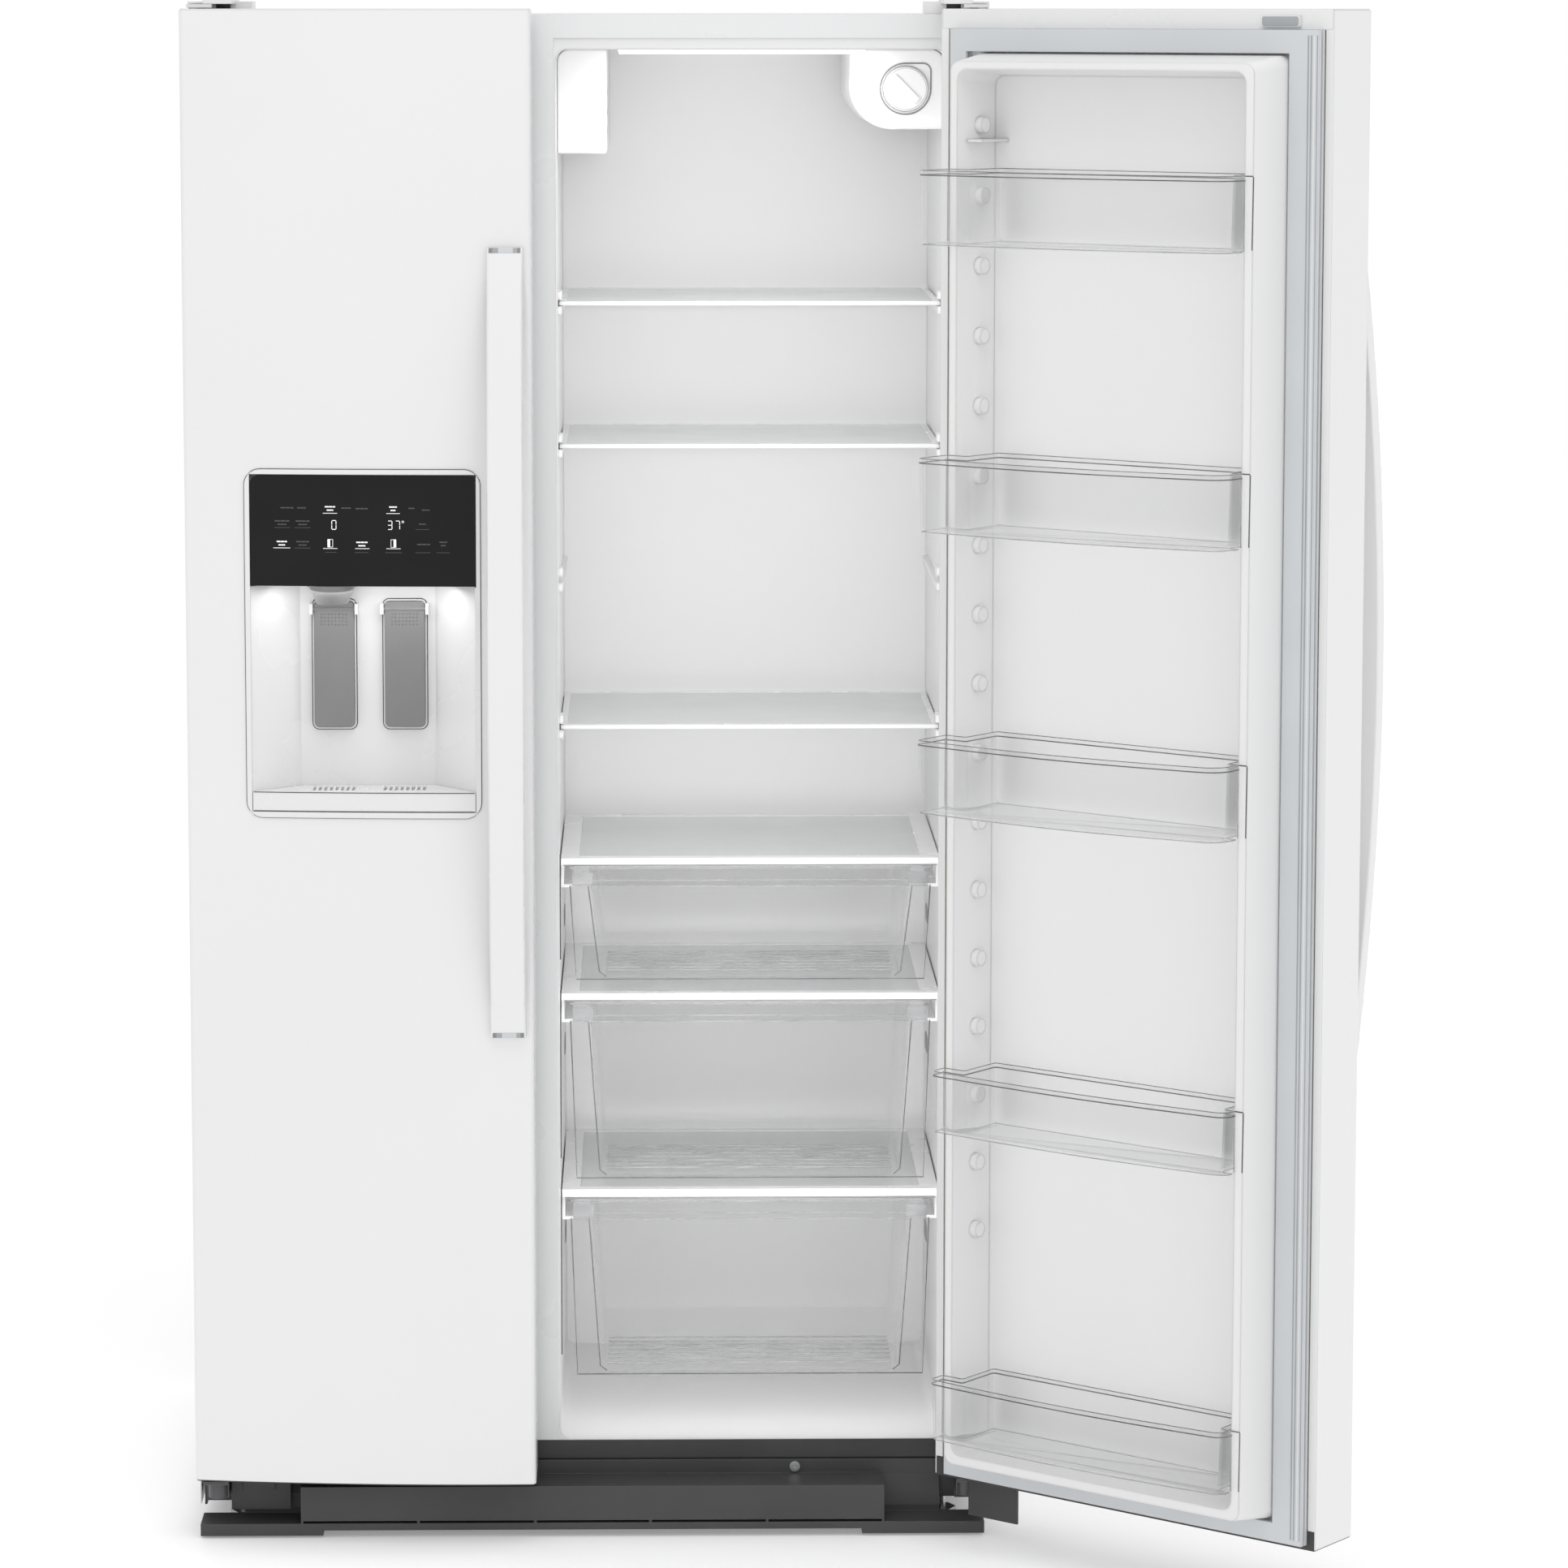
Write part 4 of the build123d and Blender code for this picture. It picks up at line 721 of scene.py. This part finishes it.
knob = Vector(JOINTS["water_filter_turn"]["pos_m"]) / MM
ring_y = box("filter_housing")[0].y - 0.1
square = RING - RING_CORNER
outline = arc(knob.x, knob.z, RING, 90, 270, 36)
outline += arc(knob.x + square, knob.z + square, RING_CORNER, 0, 90, 8)
path = [(x, ring_y, z) for x, z in outline]
line("filter_ring", path, 0.95, "seam_grey", "cabinet", 8, closed=True)
# painted shade: a dark ring along the knob's edge
knob_y = box("water_filter")[0].y + 2.2
path = [(x, knob_y, z) for x, z in arc(knob.x, knob.z, KNOB_LINE, 0, 360, 48)[:-1]]
line("filter_knob_line", path, 0.5, "clear_edge", "water_filter", closed=True)

# ---------------------------------------------------------------- seal folds and latch plates of the doors

SEAL_FACE = 11.4
SEAL_Z = (82, 900, 1715)
# painted shade along the seal's folds, and a painted highlight along its lip
SEAL_FOLDS = (  # name, distance from the handle edge, radius, material
    ("fold_1", 24.6, 1.0, "gasket_dark"), ("fold_2", 20.8, 1.0, "gasket_dark"),
    ("lip", 17.2, 1.0, "trim_white"), ("fold_3", 13.4, 0.8, "gasket_dark"),
)
LATCH_STEPS = ((0.0, 3.9), (0.5, 4.4), (1.4, 4.5))

for body, width, place in (
    ("fridge_door", FRIDGE_W, on_fridge_door), ("freezer_door", FREEZER_W, on_freezer_door),
):
    for tag, back, radius, material in SEAL_FOLDS:
        path = [(width - back, SEAL_FACE, z) for z in SEAL_Z]
        line(f"{body}_seal_{tag}", path, radius, material, body, 8, place=place)
    outline = rounded(rectangle(width - 88, width - 42, 1724.8, 1735.2), 2.5, 4)
    raised(
        f"{body}_latch_plate", outline, LATCH_STEPS, lambda u, z, h: (u, h, z), "gasket_dark", body,
        place=place,
    )

# ---------------------------------------------------------------- marks of the control panel

CAPTION_TALL, CAPTION_PITCH, UNDERLINE_TALL = 1.5, 3.8, 0.6
CAPTION_PARTS = ((0.36, -0.30), (0.30, 0.06), (0.24, 0.37))  # share of the width, and shift from the middle
CAPTIONS = (  # fraction across, fraction down, width, lines, bright
    (0.166, 0.296, 15, 1, False), (0.231, 0.296, 10, 1, False), (0.357, 0.300, 12, 2, True),
    (0.428, 0.296, 11, 1, False), (0.497, 0.300, 14, 1, False), (0.636, 0.300, 9, 2, True),
    (0.717, 0.296, 7, 1, False), (0.780, 0.312, 9, 1, False),
    (0.143, 0.430, 17, 2, False), (0.235, 0.430, 16, 2, False), (0.765, 0.438, 8, 1, False),
    (0.142, 0.615, 12, 2, True), (0.234, 0.615, 15, 2, False), (0.497, 0.618, 13, 2, True),
    (0.770, 0.620, 15, 1, False), (0.857, 0.615, 9, 2, False),
)
UNDERLINES = (  # fraction across, fraction down, width, bright
    (0.357, 0.343, 16, True), (0.636, 0.343, 15, True), (0.145, 0.474, 18, False), (0.235, 0.474, 18, False),
    (0.765, 0.486, 15, False), (0.142, 0.657, 19, True), (0.234, 0.657, 18, False), (0.357, 0.659, 16, True),
    (0.499, 0.659, 16, True), (0.637, 0.659, 16, True), (0.767, 0.694, 17, False), (0.857, 0.694, 15, False),
    (0.359, 0.694, 13, False), (0.496, 0.694, 15, False), (0.637, 0.694, 19, False),
)
SEGMENTS = {  # (x, z, width, height) in units of a digit one wide and two high
    "a": (0, 1, 0.8, 0.16), "b": (0.46, 0.5, 0.16, 0.8), "c": (0.46, -0.5, 0.16, 0.8),
    "d": (0, -1, 0.8, 0.16), "e": (-0.46, -0.5, 0.16, 0.8), "f": (-0.46, 0.5, 0.16, 0.8),
    "g": (0, 0, 0.8, 0.16),
}
# fraction across, segments and size of each digit
DIGITS = ((0.374, "abcdef", 5.2), (0.622, "abgcd", 5.0), (0.656, "abc", 5.0))
DIGITS_DOWN, ICONS_DOWN = 0.448, 0.612
DEGREE_AT = (0.679, 0.418)
DEGREE = ((0, 0.9, 2.2, 0.5), (0, -0.9, 2.2, 0.5), (-0.9, 0, 0.5, 1.8), (0.9, 0, 0.5, 1.8))
DOOR_ICONS = ((0.357, -1), (0.637, 1))  # fraction across, and the side that is filled
ICON_FRAME = ((0, 4.3, 5.6, 0.5), (0, -4.3, 5.6, 0.5), (2.8, 0, 0.5, 8.6), (-2.8, 0, 0.5, 8.6))

panel_lo, panel_hi = box("control_panel")
panel_front = caster("control_panel")


def mark(name, x, z, w, h, bright=True):
    """A thin printed mark that follows the curved window."""
    columns, proud = 4, 0.35
    verts, faces = [], []
    for k in range(columns + 1):
        px = x - w / 2 + w * k / columns
        y = panel_front(px, max(panel_lo.z + 1, min(panel_hi.z - 1, z))) - proud
        verts += [(px, y, z - h / 2), (px, y, z + h / 2)]
        if k:
            b = 2 * k
            faces.append((b - 2, b, b + 1, b - 1))
    material = "icon_bright" if bright else "icon_dim"
    piece(name, verts, faces, material, "freezer_door", smooth=False)


def panel_point(fx, fz):
    """A point of the window from fractions of its width and of its height, from the top."""
    return panel_lo.x + fx * (panel_hi.x - panel_lo.x), panel_hi.z - fz * (panel_hi.z - panel_lo.z)


for k, (fx, fz, width, count, bright) in enumerate(CAPTIONS):
    x, z = panel_point(fx, fz)
    for row in range(count):
        wide = width * (1.0 if row == 0 else 0.62)
        top = z + (CAPTION_PITCH / 2 if count == 2 else 0) - CAPTION_PITCH * row
        for part, (share, shift) in enumerate(CAPTION_PARTS):
            mark(f"caption_{k}_{row}_{part}", x + wide * shift, top, wide * share, CAPTION_TALL, bright)
for k, (fx, fz, width, bright) in enumerate(UNDERLINES):
    mark(f"underline_{k}", *panel_point(fx, fz), width, UNDERLINE_TALL, bright)
for k, (fx, segments, scale) in enumerate(DIGITS):
    x, z = panel_point(fx, DIGITS_DOWN)
    for s in segments:
        dx, dz, w, h = SEGMENTS[s]
        mark(f"digit_{k}_{s}", x + dx * scale, z + dz * scale * 0.95, w * scale, h * scale)
x, z = panel_point(*DEGREE_AT)
for k, (dx, dz, w, h) in enumerate(DEGREE):
    mark(f"degree_{k}", x + dx, z + dz, w, h)
for k, (fx, side) in enumerate(DOOR_ICONS):
    x, z = panel_point(fx, ICONS_DOWN)
    mark(f"icon_{k}_fill", x + side * 1.4, z, 2.6, 8.2)
    for dx, dz, w, h in ICON_FRAME:
        mark(f"icon_{k}_{dx}_{dz}".replace("-", "m").replace(".", "p"), x + dx, z + dz, w, h)

# ---------------------------------------------------------------- dispenser bay

BAY_Y = -25.0  # the bay's back wall
SURROUND_HALF, SURROUND_LOW, SURROUND_HIGH = 24.6, 3.4, 2.2  # half width, and margins under and over a paddle
SURROUND_STEPS = ((0.0, 0.05), (0.0, 1.5), (0.8, 2.2), (1.7, 2.2), (2.4, 1.4), (2.4, 0.05))  # inset, height

for name in ("ice_paddle", "water_paddle"):
    lo, hi = box(name)
    cx = (lo.x + hi.x) / 2
    frame_box = rectangle(cx - SURROUND_HALF, cx + SURROUND_HALF, lo.z - SURROUND_LOW, hi.z + SURROUND_HIGH)
    outline = rounded(frame_box, 7, 6)
    loops = [[(x, BAY_Y - height, z) for x, z in inset(outline, amount)] for amount, height in SURROUND_STEPS]
    verts, faces = rings(loops, closed_ends=False)
    piece(f"{name}_surround", verts, faces, "trim_white", "freezer_door")
    path = [(x, BAY_Y - 0.4, z) for x, z in inset(outline, -0.6)]
    line(f"{name}_seam", path, 0.5, "seam_dark", "freezer_door", closed=True)

# hairline gap round the dispenser's trim, laid on the bowed door
trim_lo, trim_hi = box("dispenser_housing")
trim_front = caster("dispenser_housing")
outline = rounded(rectangle(trim_lo.x, trim_hi.x, trim_lo.z, trim_hi.z), 18, 8)
dense = []
for i, p in enumerate(outline):
    q = outline[(i + 1) % len(outline)]
    steps = max(1, int(math.dist(p, q) / 12))
    dense += [(p[0] + (q[0] - p[0]) * k / steps, p[1] + (q[1] - p[1]) * k / steps) for k in range(steps)]
path = [(x, trim_front(*near) + 1.7, z) for (x, z), near in zip(dense, inset(dense, 2.0))]
line("dispenser_trim_seam", path, 0.75, "seam_dark", "freezer_door", closed=True)

tray_lo, tray_hi = box("dispenser_tray")
tray_front = caster("dispenser_tray")
tray_xs = [tray_lo.x + 1.2 + (tray_hi.x - tray_lo.x - 2.4) * k / 24 for k in range(25)]
tray_edge = [(x, tray_front(x, tray_lo.z + 10) - 0.1) for x in tray_xs]
for tag, z in (("top", tray_hi.z - 0.3), ("foot", tray_lo.z + 0.4)):
    path = [(x, y, z) for x, y in tray_edge]
    line(f"tray_{tag}_line", path, 0.55, "seam_dark", "freezer_door")

# ---------------------------------------------------------------- painted shade on the end faces of both handles

END_START, END_TALL = 0.4, 6.0  # where a face begins and ends, from the handle's tip
END_LEAN = 0.205  # how far it leans outwards per millimetre
# painted shade: bands of grey across each end face
END_BANDS = (  # darkest at the corners
    (0.00, 0.12, "seam_grey"), (0.12, 0.30, "gasket_dark"), (0.30, 0.76, "gasket_grey"),
    (0.76, 0.89, "gasket_dark"), (0.89, 1.00, "seam_grey"),
)

for body, place, back in (
    ("freezer_door", on_freezer_door, from_freezer_door), ("fridge_door", on_fridge_door, from_fridge_door),
):
    handle = NODES[f"{body}_handle"]
    points = [back(handle.matrix_world @ v.co / MM) for v in handle.data.vertices]
    for tag, z, sign in (("top", max(p.z for p in points), -1), ("foot", min(p.z for p in points), 1)):
        tip = [p for p in points if abs(p.z - z) < 0.5]
        u0, u1 = min(p.x for p in tip) + 2.4, max(p.x for p in tip) - 2.4
        h = min(p.y for p in tip) - 0.35
        for k, (t0, t1, material) in enumerate(END_BANDS):
            verts = []
            for t in (t0, (t0 + t1) / 2, t1):
                u = u0 + (u1 - u0) * t
                verts += [(u, h - END_LEAN * down, z + sign * down) for down in (END_START, END_TALL)]
            faces = [(0, 2, 3, 1), (2, 4, 5, 3)]
            piece(f"{body}_handle_{tag}_end_{k}", verts, faces, material, body, place=place)

# ---------------------------------------------------------------- stage, light and camera

FLOOR_HALF = 14.0
floor_mesh = bpy.data.meshes.new("stage_floor")
corners = rectangle(-FLOOR_HALF, FLOOR_HALF, -FLOOR_HALF, FLOOR_HALF)
floor_mesh.from_pydata([(x, y, 0) for x, y in corners], [], [(0, 1, 2, 3)])
floor = bpy.data.objects.new("stage_floor", floor_mesh)
bpy.context.scene.collection.objects.link(floor)
floor_mesh.materials.append(M["stage_floor"].mat)

world = bpy.data.worlds.new("studio")
bpy.context.scene.world = world
world.use_nodes = True
tree = world.node_tree
tree.nodes.clear()
out = tree.nodes.new("ShaderNodeOutputWorld")
light_path = tree.nodes.new("ShaderNodeLightPath")
mix = tree.nodes.new("ShaderNodeMixShader")
tree.links.new(light_path.outputs["Is Camera Ray"], mix.inputs["Fac"])
for slot, strength in ((1, 0.84), (2, 1.0)):  # what lights the scene, then what the camera sees
    backdrop = tree.nodes.new("ShaderNodeBackground")
    backdrop.inputs["Color"].default_value = (1, 1, 1, 1)
    backdrop.inputs["Strength"].default_value = strength
    tree.links.new(backdrop.outputs[0], mix.inputs[slot])
tree.links.new(mix.outputs[0], out.inputs["Surface"])

LAMPS = (  # name, place, aim, width, height, power
    ("key", (2.6, -4.2, 3.8), (0.0, -0.1, 0.9), 2.4, 2.4, 12),
    ("top", (0.1, -1.6, 4.6), (0.1, -0.2, 0.6), 2.6, 2.6, 30),
    ("cavity_front", (0.183, -0.004, 1.22), (0.183, 0.50, 1.22), 0.42, 0.92, 0.74),
    ("cavity_low", (0.183, -0.004, 0.44), (0.183, 0.50, 0.44), 0.42, 0.62, 0.95),
    ("cavity_top", (0.18, 0.05, 1.685), (0.18, 0.42, 1.0), 0.26, 0.04, 0.30),
    ("freezer_front", (-0.245, -0.004, 0.90), (-0.245, 0.50, 0.90), 0.26, 1.50, 1.0),
    ("dispenser", (-0.254, -0.075, 1.095), (-0.254, -0.05, 0.86), 0.20, 0.03, 0.10),
)
for name, at, aim, wide, high, power in LAMPS:
    lamp = bpy.data.lights.new(name, "AREA")
    lamp.shape = "RECTANGLE"
    lamp.size = wide
    lamp.size_y = high
    lamp.energy = power
    holder = bpy.data.objects.new(name, lamp)
    holder.location = at
    holder.rotation_euler = (Vector(aim) - Vector(at)).to_track_quat("-Z", "Y").to_euler()
    bpy.context.scene.collection.objects.link(holder)
bpy.context.scene.view_settings.view_transform = "Standard"

CAMERA_AT = (0.073, -6.090, 1.748)
CAMERA_TILT, CAMERA_PAN = 90 - 6.589, -0.877  # degrees
camera_data = bpy.data.cameras.new("camera")
camera = bpy.data.objects.new("camera", camera_data)
bpy.context.scene.collection.objects.link(camera)
camera.location = CAMERA_AT
camera.rotation_euler = (math.radians(CAMERA_TILT), 0, math.radians(CAMERA_PAN))
camera_data.sensor_width = 36
camera_data.lens = 123.85
camera_data.shift_x = 0.03
camera_data.shift_y = -0.1
camera_data.clip_end = 100
bpy.context.scene.camera = camera
